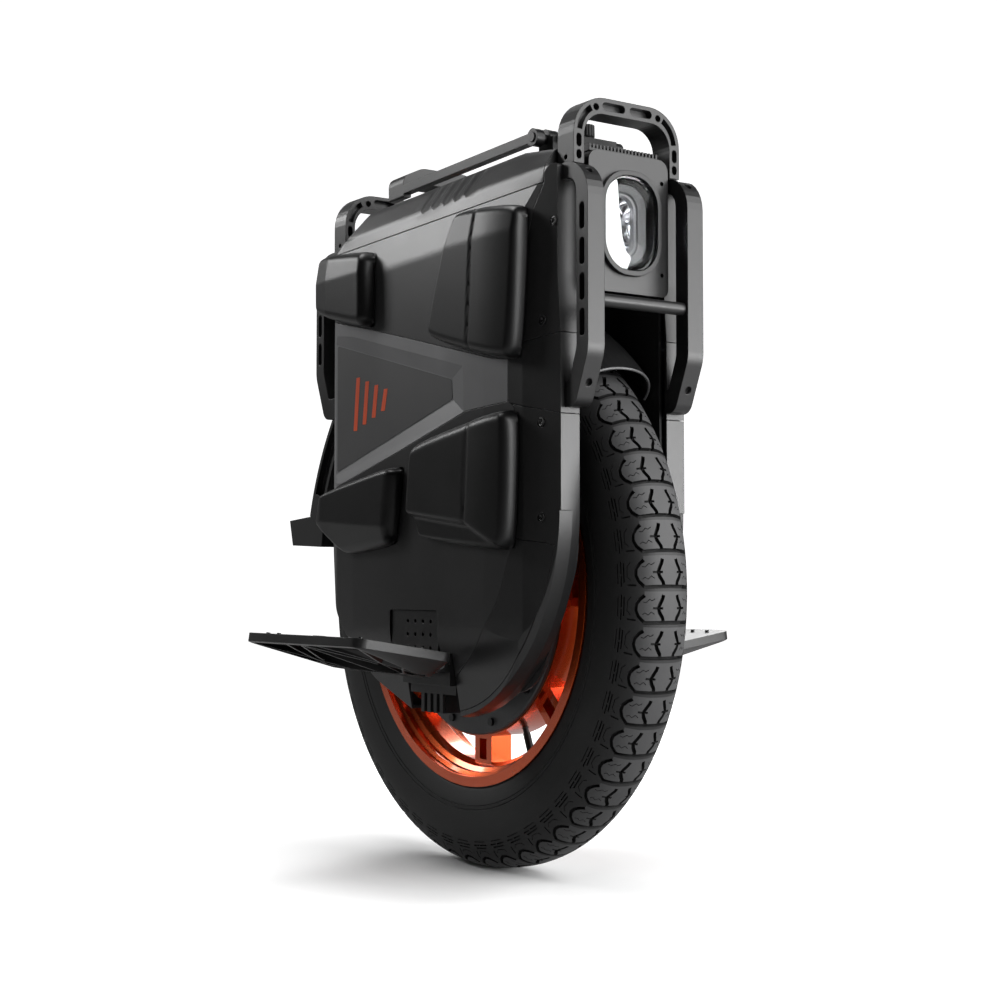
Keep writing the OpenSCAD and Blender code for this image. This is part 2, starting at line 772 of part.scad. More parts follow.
plate_outline = rounded([[216, 702, 4], [218, 560, 60], [220, 320, 100], [155, 196, 60], [70, 186, 40],
    [-20, 186, 40], [-106, 222, 50], [-164, 290, 60], [-190, 404, 60], [-203, 596, 60], [-198, 672, 4]], 5);
rod_top = 470;
lug_t = 14;

module frame_plate_right() {
    color("#4a4c50") difference() {
        union() {
            raised() slab_xz(plate_outline, -plate_y - plate_t, -plate_y);
            raised() {
                translate([-block_x, -block_y1, 186]) cube([2 * block_x, block_y1 - plate_y, lug_t]);
                translate([-block_x, -block_y1, rod_top - lug_t])
                    cube([2 * block_x, block_y1 - plate_y, lug_t]);
                for (x = [-20, -8, 4, 16]) translate([x - 3, -block_y1, 166])
                    cube([6, block_y1 - plate_y, 21]);
                translate([-24, -block_y1 + 3, 168]) cube([44, block_y1 - plate_y - 6, 19]);
            }
            translate([-16, -block_y1, shock_z0 + shock_len]) cube([32, block_y1 - plate_y, lug_t]);
        }
        for (s = [-1, 1]) raised() translate([s * rod_x, -rod_y_pos, 190])
            cylinder(r = rod_r, h = rod_top - 194, $fn = 48);
        raised() translate([0, -rod_y_pos, rod_top - lug_t - 5])
            cylinder(r = shock_r + 0.3, h = 40, $fn = 48);
        translate([0, 0, axle_z]) {
            rod_y(0, 0, collar_r + 2, -big, 0);
            rod_y(0, travel, collar_r + 2, -big, 0);
            translate([-collar_r - 2, -big, 0]) cube([2 * (collar_r + 2), big, travel]);
        }
    }
}
module frame_plate_left() {
    left_of() frame_plate_right();
}

module guide_rods() {
    color(steel) raised() both_sides() for (s = [-1, 1]) translate([s * rod_x, -rod_y_pos, 190])
        cylinder(r = rod_r, h = rod_top - 194, $fn = 48);
}

module shock_bodies() {
    color(black) both_sides() translate([0, -rod_y_pos, shock_z0]) difference() {
        cylinder(r = shock_r, h = shock_len, $fn = 64);
        translate([0, 0, -1]) cylinder(r = shock_rod_r + run_gap, h = shock_len - 19, $fn = 48);
    }
}

pack_y0 = plate_y + plate_t + 0.2;
pack_y1 = body_half - tray_t - 1.6;

module battery_packs() {
    color("#2f4a78") raised() both_sides() {
        translate([56, -pack_y1, 300]) cube([140, pack_y1 - pack_y0, 260]);
        translate([-168, -pack_y1, 300]) cube([112, pack_y1 - pack_y0, 260]);
    }
}

board_z = -wall - 14;

module control_board() {
    color("#1f5a34") on_top() {
        translate([-125, -44, board_z - 2]) cube([135, 88, 2]);
        for (x = [-118, 3], y = [-38, 38]) translate([x, y, board_z])
            cylinder(r = 3, h = -wall - board_z, $fn = 32);
        for (i = [0:4]) translate([-105 + 22 * i, -30, board_z]) cube([12, 12, 6]);
        for (x = [-92, -64, -36]) translate([x, 15, board_z]) cylinder(r = 9, h = 8, $fn = 32);
    }
}

// Hoops, bumpers and crossbar

hoop_bar = 12.5;
hoop_top_bar = 16;
hoop_corner = 38;
web_w = 6;
hoop_hole_y = 39;
hoop_hole_r = 3.4;

// Slot along X in the face of a hoop, rounded at its ends, from [y0, z0] to [y1, z1]
module web_slot(y0, y1, z0, z1) {
    e = min(y1 - y0, z1 - z0) / 2 - 0.1;
    slab_yz(rounded([[y1, z0, e], [y1, z1, e], [y0, z1, e], [y0, z0, e]], 4), 0, 9);
}

module hoop(half, z0, z1) {
    outer = rounded([[half, z0, 0], [half, z1, hoop_corner], [-half, z1, hoop_corner], [-half, z0, 0]], 10);
    inner_half = half - hoop_bar;
    inner_z = z1 - hoop_top_bar;
    inner = rounded([[inner_half, z0 - 1, 0], [inner_half, inner_z, 24], [-inner_half, inner_z, 24],
        [-inner_half, z0 - 1, 0]], 10);
    arc_y = half - hoop_corner;
    arc_z = z1 - hoop_corner;
    leg = half - hoop_bar / 2;
    difference() {
        slab_yz(outer, -hoop_depth / 2, hoop_depth / 2);
        slab_yz(inner, -hoop_depth, hoop_depth);
        for (x = [-hoop_depth / 2 - 1, hoop_depth / 2 - 8]) translate([x, 0, 0]) both_sides() {
            web_slot(3, 31, z1 - 12, z1 - 4);
            web_slot(leg - web_w / 2, leg + web_w / 2, z0 + 4, (z0 + arc_z) / 2 - 2);
            if (arc_z - z0 > 24) web_slot(leg - web_w / 2, leg + web_w / 2, (z0 + arc_z) / 2 + 1,
                arc_z - 1);
            intersection() {
                translate([0, arc_y, arc_z]) rotate([0, 90, 0]) difference() {
                    cylinder(r = hoop_corner - 4, h = 9, $fn = 64);
                    translate([0, 0, -1]) cylinder(r = hoop_corner - 4 - web_w, h = 11, $fn = 64);
                }
                slab_yz([[arc_y, arc_z], [arc_y + 50, arc_z + 6], [arc_y + 50, arc_z + 80]], 0, 9);
            }
        }
        both_sides() {
            rod_x(hoop_hole_y, z1 - 10, hoop_hole_r, -hoop_depth, hoop_depth);
            rod_y(0, z0 + 7, 2.5, half - 5, half + 1);
        }
    }
}
hoop_x = panel_front - 2 - hoop_depth / 2;
rear_hoop_x = -215;

module front_hoop() {
    color(black) raised() translate([hoop_x, 0, 0]) hoop(hoop_half, notch_z, 776);
}
module rear_hoop() {
    color(black) raised() translate([rear_hoop_x, 0, 0]) hoop(hoop_half + 3, 690, 758);
}

bumper_y = 52.2;
bumper_front = 262;
bumper_t = 18;
bumper_end_t = 15;

// Loop in side view: a bar of constant depth with a large bend above and a slanting foot below
function bumper_outer(x0, x1, z0, z1) = [[x0, z1, 0], [x1, z1, 36], [x1, z0 + 52, 40], [x1 - 20,
    z0 + 2, 14],
    [x1 - 28, z0, 4], [x0, z0, 0]];
function bumper_inner(x0, x1, z0, z1) = [[x0 - 20, z1 - bumper_end_t, 0], [x1 - bumper_t,
    z1 - bumper_end_t, 16],
    [x1 - bumper_t, z0 + 56, 24], [x1 - bumper_t - 12, z0 + 24, 2], [x0 - 20, z0 + 24, 0]];

module bumper(x0, x1, z0, z1) {
    difference() {
        slab_xz(rounded(bumper_outer(x0, x1, z0, z1), 8), -bumper_y - bumper_w, -bumper_y);
        slab_xz(rounded(bumper_inner(x0, x1, z0, z1), 6), -200, 0);
        for (z = [z0 + 66:34:z1 - 52])
            slab_xz(rounded([[x1 - 13, z, 3], [x1 - 13, z + 26, 3], [x1 - 5.5, z + 26, 3], [x1 - 5.5,
                z, 3]], 3),
                -100, 7 - bumper_y - bumper_w);
        translate([x1 - 13, -bumper_y - bumper_w / 2, z1 - 13]) rotate([0, 45, 0])
            cylinder(r = 4, h = 30, $fn = 32);
        translate([x1 - 16, -bumper_y - bumper_w / 2, z0 + 24]) rotate([0, 115, 0])
            cylinder(r = 4, h = 30, $fn = 32);
    }
}

module front_bumper_right() {
    color(black) raised() difference() {
        union() {
            bumper(front_x, bumper_front, 471, notch_z);
            translate([brow_x, -bumper_y - bumper_w, notch_z - 16]) cube([6, bumper_w, 16]);
        }
        rod_y(crossbar_x, crossbar_z, 4.5, -bumper_y - 10, 0);
    }
}
module front_bumper_left() {
    left_of() front_bumper_right();
}

crossbar_x = 253;
crossbar_z = 573;

module front_crossbar() {
    color(satin) raised() {
        rod_y(crossbar_x, crossbar_z, crossbar_r, -bumper_y, bumper_y);
        rod_y(crossbar_x, crossbar_z, 4.5, -bumper_y - 8, bumper_y + 8);
    }
}

module rear_bumper_right() {
    color(black) raised() mirror([1, 0, 0]) difference() {
        union() {
            bumper(212, 266, 494, 690);
            translate([205, -bumper_y - bumper_w, 676]) cube([8, bumper_w, 14]);
        }
        translate([150, -100, 450]) cube([61.5, 100, 226]);
    }
}
module rear_bumper_left() {
    left_of() rear_bumper_right();
}

// Leg pads: a crowned cushion over a four-cornered patch of the side

pad_base_gap = 0.8;
pad_nu = 16;
pad_nv = 10;
function spread(t) = sin(90 * t);
function pad_edge(u, v) = sqrt((1 - pow(abs(u), 6)) * (1 - pow(abs(v), 6)));
function pad_spot(c, u, v) = let (a = u * sqrt(1 - 0.2 * v * v) / 2 + 0.5,
    b = v * sqrt(1 - 0.2 * u * u) / 2 + 0.5)
    (c[0] * (1 - a) + c[1] * a) * (1 - b) + (c[3] * (1 - a) + c[2] * a) * b;
function pad_rise(u, v, crease) = pad_edge(u, v) * (crease > 0.99 ? 1
    : (u < 2 * crease - 1 ? 0.8 : 1) - 0.25 * exp(-pow((u + 1 - 2 * crease) / 0.09, 2)));

// Corners c run from low rear, low front, high front to high rear, each [x, z]
module pad(c, crease) {
    w = pad_nv + 1;
    count = (pad_nu + 1) * w;
    tops = [for (i = [0:pad_nu], j = [0:pad_nv])
        let (u = spread(2 * i / pad_nu - 1), v = spread(2 * j / pad_nv - 1), p = pad_spot(c, u, v))
        [p[0], -side_half(p[0], p[1]) - pad_base_gap - 0.1 - pad_h * pad_rise(u, v, crease), p[1]]];
    bases = [for (p = tops) [p[0], -side_half(p[0], p[2]) - pad_base_gap, p[2]]];
    rim = function(i, j) i == 0 || j == 0 || i == pad_nu || j == pad_nv;
    base = function(i, j) rim(i, j) ? i * w + j : count + i * w + j;
    skew = function(i, j) (i < pad_nu / 2) == (j < pad_nv / 2) ? 1 : 0;
    top = function(i, j) i * w + j;
    color(black) raised() polyhedron(concat(tops, bases), [for (i = [0:pad_nu - 1], j = [0:pad_nv - 1])
        let (k = skew(i, j)) each [
            [top(i, j), top(i, j + 1), top(i + 1, j + k)], [top(i + 1, j + 1), top(i + 1, j), top(i,
                j + 1 - k)],
            [base(i, j + 1), base(i, j), base(i + 1, j + k)], [base(i + 1, j), base(i + 1, j + 1),
                base(i, j + 1 - k)]]]);
}

module pad_front_upper_right() {
    pad([[27, 560], [174, 521], [185, 672], [75, 683]], 0.5);
}
module pad_rear_upper_right() {
    pad([[-218, 612], [-104, 585], [-105, 670], [-218, 680]], 1);
}
module pad_front_lower_right() {
    pad([[-12, 358], [162, 334], [170, 473], [-8, 448]], 0.6);
}
module pad_rear_lower_right() {
    pad([[-188, 342], [-57, 341], [-40, 430], [-208, 403]], 1);
}
module pad_front_upper_left() {
    left_of() pad_front_upper_right();
}
module pad_rear_upper_left() {
    left_of() pad_rear_upper_right();
}
module pad_front_lower_left() {
    left_of() pad_front_lower_right();
}
module pad_rear_lower_left() {
    left_of() pad_rear_lower_right();
}

// Pedals

hinge_y = 97;
hinge_z = 219;
knuckle_half = 24;
ear_half = 46;
ear_r = 9;
knuckle_gap = 0.3;
ear_w = ear_half - knuckle_half - knuckle_gap;
// Outer face of the bracket's plate, and the bottom of its hanger
plate_out = body_half - 2;
hanger_z = 196;

module pedal_brackets() {
    color(satin) raised() both_sides() difference() {
        union() {
            slab_xz(inset(pedal_hole, 0.3), -plate_out, -plate_out + 3);
            translate([-66, -plate_out + 3, 230]) cube([86, 5, 40]);
            for (s = [-1, 1]) {
                x0 = s > 0 ? knuckle_half + knuckle_gap : -ear_half;
                rod_x(-hinge_y, hinge_z, ear_r, x0, x0 + ear_w);
                translate([x0, -hinge_y, hinge_z - ear_r]) cube([ear_w, hinge_y - plate_out + 2, 8]);
            }
            translate([-ear_half, -plate_out, hanger_z])
                cube([2 * ear_half, plate_out - block_y1, foot_top - 0.3 - hanger_z]);
        }
        rod_x(-hinge_y, hinge_z, pin_r, -100, 100);
        for (i = [0:3], j = [0:2]) rod_y(-36 + 15 * i, 234 + 14 * j, 2.2, -100, -body_half + 12);
    }
}

module pedal_pins() {
    color(steel) raised() both_sides() rod_x(-hinge_y, hinge_z, pin_r, -ear_half, ear_half);
}

pedal_half = pedal_len / 2;
pedal_shoulder = 36;
pedal_outline = rounded([[-46, ear_r + 1.5, 0], [-pedal_half + 3, pedal_shoulder, 10], [-pedal_half,
    pedal_reach, 14],
    [pedal_half, pedal_reach, 14], [pedal_half - 3, pedal_shoulder, 10], [46, ear_r + 1.5, 0]], 5);

pedal_depth = 15;
pedal_skin = 3.5;
rib_t = 3;

// Rib from [x0, y0] to [x1, y1] in plan
module rib2d(x0, y0, x1, y1) {
    n = unit([y0 - y1, x1 - x0]) * rib_t / 2;
    polygon([[x0, y0] + n, [x0, y0] - n, [x1, y1] - n, [x1, y1] + n]);
}

// Pedal plate seen from above, hinge line at y = 0 and reach along +Y, turned outwards later.
// Its underside slopes down towards the hinge, and pockets leave a truss of ribs in it.
module pedal_plate() {
    difference() {
        union() {
            intersection() {
                translate([0, 0, -pedal_depth]) linear_extrude(height = pedal_t + pedal_depth)
                    polygon(pedal_outline);
                slab_yz([[0, -pedal_depth], [pedal_shoulder + 14, -pedal_depth], [pedal_reach, 0],
                    [pedal_reach + 5, 0], [pedal_reach + 5, pedal_t], [0, pedal_t]], -200, 200);
            }
            translate([-knuckle_half, -1, -pedal_depth])
                cube([2 * knuckle_half, 16, pedal_t + pedal_depth - 2]);
            for (x = [-96, -72, 72, 96], y = [58, 128]) translate([x, y, pedal_t - 0.5])
                cylinder(r = 2.2, h = 3, $fn = 24);
            translate([0, 118, pedal_t - 0.5]) linear_extrude(height = 3)
                polygon(rounded([[-13, -4, 4], [13, -4, 4], [13, 4, 4], [-13, 4, 4]], 4));
        }
        translate([0, 0, -pedal_depth - 1])
            linear_extrude(height = pedal_depth + 1 + pedal_t - pedal_skin) difference() {
            polygon(inset(pedal_outline, 6));
            translate([-50, 0]) square([100, 26]);
            for (s = [-1, 1]) {
                rib2d(0, 20, s * 112, 72);
                rib2d(s * 30, 20, s * 112, 136);
                rib2d(s * 112, 40, s * 30, 140);
                rib2d(s * 58, 80, 0, 140);
            }
            translate([-rib_t / 2, 0]) square([rib_t, pedal_reach]);
        }
    }
}

module pedal_right() {
    color(satin) raised() translate([0, -hinge_y, hinge_z]) difference() {
        rotate([-pedal_tilt, 0, 0]) mirror([0, 1, 0]) union() {
            pedal_plate();
            rotate([0, 90, 0]) cylinder(r = ear_r, h = 2 * knuckle_half, center = true, $fn = 64);
        }
        rotate([0, 90, 0]) cylinder(r = pin_r + run_gap, h = 300, center = true, $fn = 64);
    }
}
module pedal_left() {
    left_of() pedal_right();
}

// Top: trolley handle, display, button

trolley_x = 150;
trolley_z = 26;
arm_y = 45.5;
arm_w = 10;
arm_h = 10;
grip_h = 32;
grip_depth = 32;

module trolley_base() {
    color(satin) on_top() difference() {
        union() {
            translate([136, -34, 0.3]) cube([40, 68, 6]);
            for (s = [-1, 1]) translate([0, s * 34 - 6, 0]) {
                translate([trolley_x - 10, 0, 0.3]) cube([24, 12, trolley_z]);
                rod_y(trolley_x, trolley_z, 10, 0, 12);
            }
            translate([160, -34, 20]) cube([14, 68, 8]);
            rod_y(trolley_x, trolley_z, hinge_r, -arm_y - arm_w - 1, arm_y + arm_w + 1);
        }
        for (y = [-22, 0, 22]) translate([167, y, 10]) cylinder(r = 3, h = 30, $fn = 32);
    }
}

module trolley_handle() {
    tail = trolley_x - handle_len;
    color(satin) on_top() difference() {
        union() {
            for (s = [-1, 1]) translate([0, s * (arm_y + arm_w / 2) - arm_w / 2, 0]) {
                translate([tail, 0, trolley_z - arm_h / 2]) cube([handle_len, arm_w, arm_h]);
                rod_y(trolley_x, trolley_z, 9, 0, arm_w);
            }
            translate([tail, 0, trolley_z - arm_h / 2]) slab_yz(rounded([[arm_y + arm_w, -4, 2],
                [arm_y + arm_w, 20, 12], [30, grip_h, 24], [-30, grip_h, 24], [-arm_y - arm_w, 20, 12],
                [-arm_y - arm_w, -4, 2], [-arm_y, -4, 2], [-arm_y, 6, 8], [-28, 14, 20], [28, 14, 20],
                [arm_y, 6, 8], [arm_y, -4, 2]], 5), -grip_depth / 2, grip_depth / 2);
        }
        rod_y(trolley_x, trolley_z, hinge_r + run_gap, -big, big);
    }
}

module lock_knob() {
    color(black) on_top() translate([167, 0, 28.3]) {
        cylinder(r = 2.9, h = 1, $fn = 32);
        difference() {
            translate([0, 0, 1]) cylinder(r = 9, h = 12, $fn = 64);
            for (i = [0:15]) rotate([0, 0, i * 22.5]) translate([9.4, 0, -1])
                cylinder(r = 1.2, h = 20, $fn = 16);
        }
    }
}

module display_panel() {
    color("#101418") on_top() translate([30.3, -35.7, -3.9]) cube([89.4, 71.4, 4]);
}

module power_button() {
    color(orange) on_top() translate([-60, 0, -3]) cylinder(r = 9, h = 4.5, $fn = 48);
}

module shell_screws() {
    color(steel) raised() both_sides() for (p = screw_spots) {
        sink = side_half(p[0], p[1]) - wall + head_floor;
        rod_y(p[0], p[1], head_r, -sink - 2, -sink);
        rod_y(p[0], p[1], screw_r, -sink, -sink + 6);
    }
}

tyre();
wheel_rim();
motor_covers();
motor_rotor();
cover_bolts();
hub_bearings();
tyre_valve();
axle();
motor_stator();
axle_blocks();
guide_bushes();
shock_rods();
inner_fender();
mudguard();
guide_rods();
shock_bodies();
frame_plate_right();
frame_plate_left();
battery_packs();
control_board();
side_cover_right();
side_cover_left();
trim_panel_right();
trim_panel_left();
front_frame_right();
front_frame_left();
top_cover();
front_panel();
rear_panel();
vent_strip();
headlight_bezel();
headlight_reflector();
headlight_lens();
tail_light();
front_hoop();
rear_hoop();
front_bumper_right();
front_bumper_left();
rear_bumper_right();
rear_bumper_left();
front_crossbar();
pad_front_upper_right();
pad_front_upper_left();
pad_rear_upper_right();
pad_rear_upper_left();
pad_front_lower_right();
pad_front_lower_left();
pad_rear_lower_right();
pad_rear_lower_left();
pedal_brackets();
pedal_pins();
pedal_right();
pedal_left();
trolley_base();
trolley_handle();
lock_knob();
display_panel();
power_button();
charge_cap();
shell_screws();
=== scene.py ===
import bpy, bmesh, math
import numpy as np
from mathutils import Matrix, Vector


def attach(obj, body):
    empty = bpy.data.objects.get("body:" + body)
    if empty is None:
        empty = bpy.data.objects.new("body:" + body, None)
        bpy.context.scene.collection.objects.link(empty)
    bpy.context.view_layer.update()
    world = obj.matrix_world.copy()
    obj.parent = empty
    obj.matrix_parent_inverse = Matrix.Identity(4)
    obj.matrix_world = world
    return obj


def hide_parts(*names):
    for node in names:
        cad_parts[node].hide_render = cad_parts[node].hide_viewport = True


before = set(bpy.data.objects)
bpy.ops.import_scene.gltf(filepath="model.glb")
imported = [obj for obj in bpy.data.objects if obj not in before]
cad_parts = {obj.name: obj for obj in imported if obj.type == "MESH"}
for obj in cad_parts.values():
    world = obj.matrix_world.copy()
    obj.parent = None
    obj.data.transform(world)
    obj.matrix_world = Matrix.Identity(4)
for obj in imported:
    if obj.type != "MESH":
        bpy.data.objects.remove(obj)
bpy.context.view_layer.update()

# Camera: stands low in front of the wheel, on its right-hand side, and looks slightly upwards.
# The long lens is the one that the photograph was taken with.
cam = bpy.data.objects.new("camera", bpy.data.cameras.new("camera"))
cam.data.sensor_width, cam.data.lens = 36, 63.12
turn, lift = math.radians(55.129), math.radians(2.695)
cam.location = (1.56426, -1.08099, 0.30290)
look = Vector((-math.sin(turn) * math.cos(lift), math.cos(turn) * math.cos(lift), math.sin(lift)))
cam.rotation_mode = "QUATERNION"
cam.rotation_quaternion = look.to_track_quat("-Z", "Y")
bpy.context.scene.collection.objects.link(cam)
bpy.context.scene.camera = cam
bpy.context.scene.view_settings.view_transform = "Standard"


# Studio: a dim grey room with a tall softbox, a wide weak one and a low one before the nose, one
# behind the right side, one overhead and one behind. The floor is a pale sheet of paper that sweeps
# up behind the wheel. Room and paper look brighter to the camera than they light the wheel, and the
# paper's glow to the camera fades out near the wheel as a painted contact shadow.
def add(m, kind, **values):
    """A node in a material or world, with its inputs or settings given by name."""
    n = m.node_tree.nodes.new("ShaderNode" + kind)
    for k, v in values.items():
        if k in n.inputs:
            n.inputs[k].default_value = v
        else:
            setattr(n, k, v)
    return n


def ranged(m, source, low, high, start=0.0, end=1.0):
    """The node output that turns a source of start to end into low to high."""
    n = add(m, "MapRange")
    for k, v in (("From Min", start), ("From Max", end), ("To Min", low), ("To Max", high)):
        n.inputs[k].default_value = v
    m.node_tree.links.new(source, n.inputs["Value"])
    return n.outputs["Result"]


room_light, room_seen = 0.03, 1.0
world = bpy.data.worlds.new("grey_room")
bpy.context.scene.world = world
world.use_nodes = True
sky = world.node_tree.nodes["Background"]
sky.inputs["Color"].default_value = (1, 1, 1, 1)
eye = add(world, "LightPath")
strength = ranged(world, eye.outputs["Is Camera Ray"], room_light, room_seen)
world.node_tree.links.new(strength, sky.inputs["Strength"])


def softbox(name, place, aim, size, power):
    light = bpy.data.lights.new(name, "AREA")
    light.shape, light.size, light.size_y, light.energy = "RECTANGLE", size[0], size[1], power
    o = bpy.data.objects.new(name, light)
    o.location = place
    o.rotation_mode = "QUATERNION"
    o.rotation_quaternion = (Vector(aim) - Vector(place)).to_track_quat("-Z", "Y")
    bpy.context.scene.collection.objects.link(o)


softbox("nose_box", (2.6, 0.35, 1.35), (0.15, 0, 0.6), (0.7, 2.5), 75)
softbox("nose_fill", (2.0, 1.7, 1.3), (0.15, 0, 0.5), (2.6, 2.4), 70)
softbox("low_box", (2.1, 1.47, 0.42), (0.15, 0, 0.35), (0.9, 0.6), 20)
softbox("side_box", (-2.7, -1.5, 2.0), (-0.1, 0, 0.6), (0.9, 0.9), 32)
softbox("top_box", (-0.6, -0.3, 2.6), (0, 0, 0.6), (1.4, 0.8), 26)
softbox("back_box", (-1.6, 1.7, 1.7), (0, 0, 0.6), (0.8, 1.2), 26)


def shader(m, **values):
    """A material's shader, after values are set on it by name, with _ for a space."""
    s = m.node_tree.nodes["Principled BSDF"]
    for k, v in values.items():
        s.inputs[k.replace("_", " ")].default_value = v
    return s


def grained(name, colour, rough, scale, bump, metal=0.0, spread=0.06, blotch=9.0, shade=0.12,
            round_edge=0.0):
    """A new material with a fine grain, and colour and roughness that vary gently over the piece."""
    m = bpy.data.materials.new(name)
    m.use_nodes = True
    link = m.node_tree.links.new
    s = shader(m, Metallic=metal)
    place = add(m, "TexCoord").outputs["Object"]
    fine = add(m, "TexNoise", Scale=scale, Detail=3.0)
    wide = add(m, "TexNoise", Scale=blotch, Detail=4.0)
    link(place, fine.inputs["Vector"])
    link(place, wide.inputs["Vector"])
    ramp = add(m, "ValToRGB")
    dark, pale = ramp.color_ramp.elements
    dark.position, pale.position = 0.3, 0.7
    dark.color = (*[c * (1 - shade) for c in colour], 1)
    pale.color = (*[c * (1 + shade) for c in colour], 1)
    link(wide.outputs["Fac"], ramp.inputs["Fac"])
    link(ramp.outputs["Color"], s.inputs["Base Color"])
    link(ranged(m, wide.outputs["Fac"], max(0, rough - spread), rough + spread), s.inputs["Roughness"])
    dents = add(m, "Bump", Strength=0.35, Distance=bump)
    link(fine.outputs["Fac"], dents.inputs["Height"])
    if round_edge:
        soft_edge = add(m, "Bevel", samples=4, Radius=round_edge)
        link(soft_edge.outputs["Normal"], dents.inputs["Normal"])
    link(dents.outputs["Normal"], s.inputs["Normal"])
    return m


paper_light, paper_seen = 0.30, 0.90
glow_light, glow_seen = 0.12, 0.8
shadow_core, shadow_end = 0.12, 0.62
paper = grained("floor_paper", (0.9, 0.9, 0.9), 0.9, 60, 0.0002, shade=0.005)
sheet = shader(paper, Emission_Color=(1, 1, 1, 1))
seen = add(paper, "LightPath").outputs["Is Camera Ray"]
away = add(paper, "VectorMath", operation="LENGTH")
paper.node_tree.links.new(add(paper, "TexCoord").outputs["Object"], away.inputs[0])
paper.node_tree.links.new(ranged(paper, seen, paper_light, paper_seen), sheet.inputs["Base Color"])
glow = ranged(paper, seen, glow_light, glow_seen)
# Seen by the camera, the paper's glow fades to nothing near the middle of the stage: a painted contact shadow
# round the wheel.
painted_shadow_glow = ranged(paper, away.outputs["Value"], 0.0, glow_seen, shadow_core, shadow_end)
paper.node_tree.links.new(painted_shadow_glow, glow.node.inputs["To Max"])
paper.node_tree.links.new(glow, sheet.inputs["Emission Strength"])


def raised(bm, faces, step):
    """Raises faces by a step, with walls between their old place and their new one."""
    made = bmesh.ops.extrude_face_region(bm, geom=faces)["geom"]
    bmesh.ops.translate(bm, verts=[v for v in made if isinstance(v, bmesh.types.BMVert)], vec=step)


paper_front, paper_flat, sweep_r, wall_top, paper_half = -9, 3.5, 1.5, 7, 8
quarter = np.linspace(0, math.pi / 2, 16)
sweep = [(paper_front, 0)]
sweep += [(paper_flat + sweep_r * math.sin(a), sweep_r - sweep_r * math.cos(a)) for a in quarter]
sweep.append((paper_flat + sweep_r, wall_top))
along, across = Vector((-math.sin(turn), math.cos(turn), 0)), Vector((math.cos(turn), math.sin(turn), 0))
bm = bmesh.new()
line = [bm.verts.new(along * a + Vector((0, 0, z)) - across * paper_half) for a, z in sweep]
edges = [bm.edges.new(ends) for ends in zip(line, line[1:])]
wide = bmesh.ops.extrude_edge_only(bm, edges=edges)["geom"]
far_side = [v for v in wide if isinstance(v, bmesh.types.BMVert)]
bmesh.ops.translate(bm, verts=far_side, vec=across * 2 * paper_half)
bmesh.ops.recalc_face_normals(bm, faces=bm.faces)
for f in bm.faces:
    f.smooth = True
floor = bpy.data.objects.new("floor", bpy.data.meshes.new("floor"))
bm.to_mesh(floor.data)
bm.free()
floor.data.materials.append(paper)
bpy.context.scene.collection.objects.link(floor)

# Tyre: moulded rubber with a block tread, 54 pitches round. One pitch is laid flat, its grooves
# and sipes are cut, and it is bent over the crown; the sidewalls and the inside are turned.
mm = 0.001
tyre_r, tyre_half, crown_h, crown_power, axle_z = 0.295, 0.041, 0.046, 2.4, 0.2945
pitches, steps = 54, 6
pitch = 2 * math.pi * tyre_r / pitches
tread_half, tread_thick, groove_shade_depth = 60 * mm, 9 * mm, 1 * mm


def rubber(name, colour, rough, gloss=0.45):
    m = grained(name, colour, rough, 900, 0.00025, spread=0.05, blotch=14, shade=0.18)
    shader(m, Specular_IOR_Level=gloss)
    return m


def finished(name, bm, material, body, smooth=32, replaces=(), bevel=0.0):
    """Makes a bmesh into a piece that rides on a body, with edges sharper than the angle kept."""
    for f in bm.faces:
        f.smooth = True
    for e in bm.edges:
        e.smooth = len(e.link_faces) != 2 or e.calc_face_angle(0) < math.radians(smooth)
    mesh = bpy.data.meshes.new(name)
    bm.to_mesh(mesh)
    bm.free()
    mesh.materials.append(material)
    o = bpy.data.objects.new(name, mesh)
    bpy.context.scene.collection.objects.link(o)
    if bevel:
        b = o.modifiers.new("edges", "BEVEL")
        b.width, b.segments, b.limit_method, b.angle_limit = bevel, 2, "ANGLE", math.radians(smooth)
        b.harden_normals = False
    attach(o, body)
    if replaces:
        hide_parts(*([replaces] if isinstance(replaces, str) else replaces))
    return o


def prism(bm, points, z0, z1):
    """Adds a flat outline raised from z0 to z1."""
    raised(bm, [bm.faces.new([bm.verts.new((x, y, z0)) for x, y in points])], (0, 0, z1 - z0))


def line_outline(points, width):
    """The outline of a groove of one width that follows a line of points."""
    p = [Vector(q) for q in points]
    left, right = [], []
    for i, q in enumerate(p):
        d = (p[min(i + 1, len(p) - 1)] - p[max(i - 1, 0)]).normalized()
        n = Vector((-d.y, d.x)) * width / 2
        left.append(q + n)
        right.append(q - n)
    return [tuple(q) for q in left + right[::-1]]


def cut_by(bm, cutter):
    """Cuts a bmesh by another one with an exact boolean and returns the result."""
    made = []
    for b, n in ((bm, "cut_a"), (cutter, "cut_b")):
        bmesh.ops.recalc_face_normals(b, faces=b.faces)
        me = bpy.data.meshes.new(n)
        b.to_mesh(me)
        b.free()
        o = bpy.data.objects.new(n, me)
        bpy.context.scene.collection.objects.link(o)
        made.append(o)
    mod = made[0].modifiers.new("cut", "BOOLEAN")
    mod.operation, mod.solver, mod.use_self, mod.object = "DIFFERENCE", "EXACT", True, made[1]
    whole = made[0].evaluated_get(bpy.context.evaluated_depsgraph_get())
    out = bmesh.new()
    out.from_mesh(whole.to_mesh())
    for o in made:
        me = o.data
        bpy.data.objects.remove(o)
        bpy.data.meshes.remove(me)
    return out


fi = np.linspace(0, math.pi / 2, 2001)
crown_r = tyre_r - crown_h + crown_h * np.cos(fi) ** (2 / crown_power)
crown_y = tyre_half * np.sin(fi) ** (2 / crown_power)
run = np.concatenate([[0], np.cumsum(np.hypot(np.diff(crown_r), np.diff(crown_y)))])
slope_r, slope_y = np.gradient(crown_r, run), np.gradient(crown_y, run)


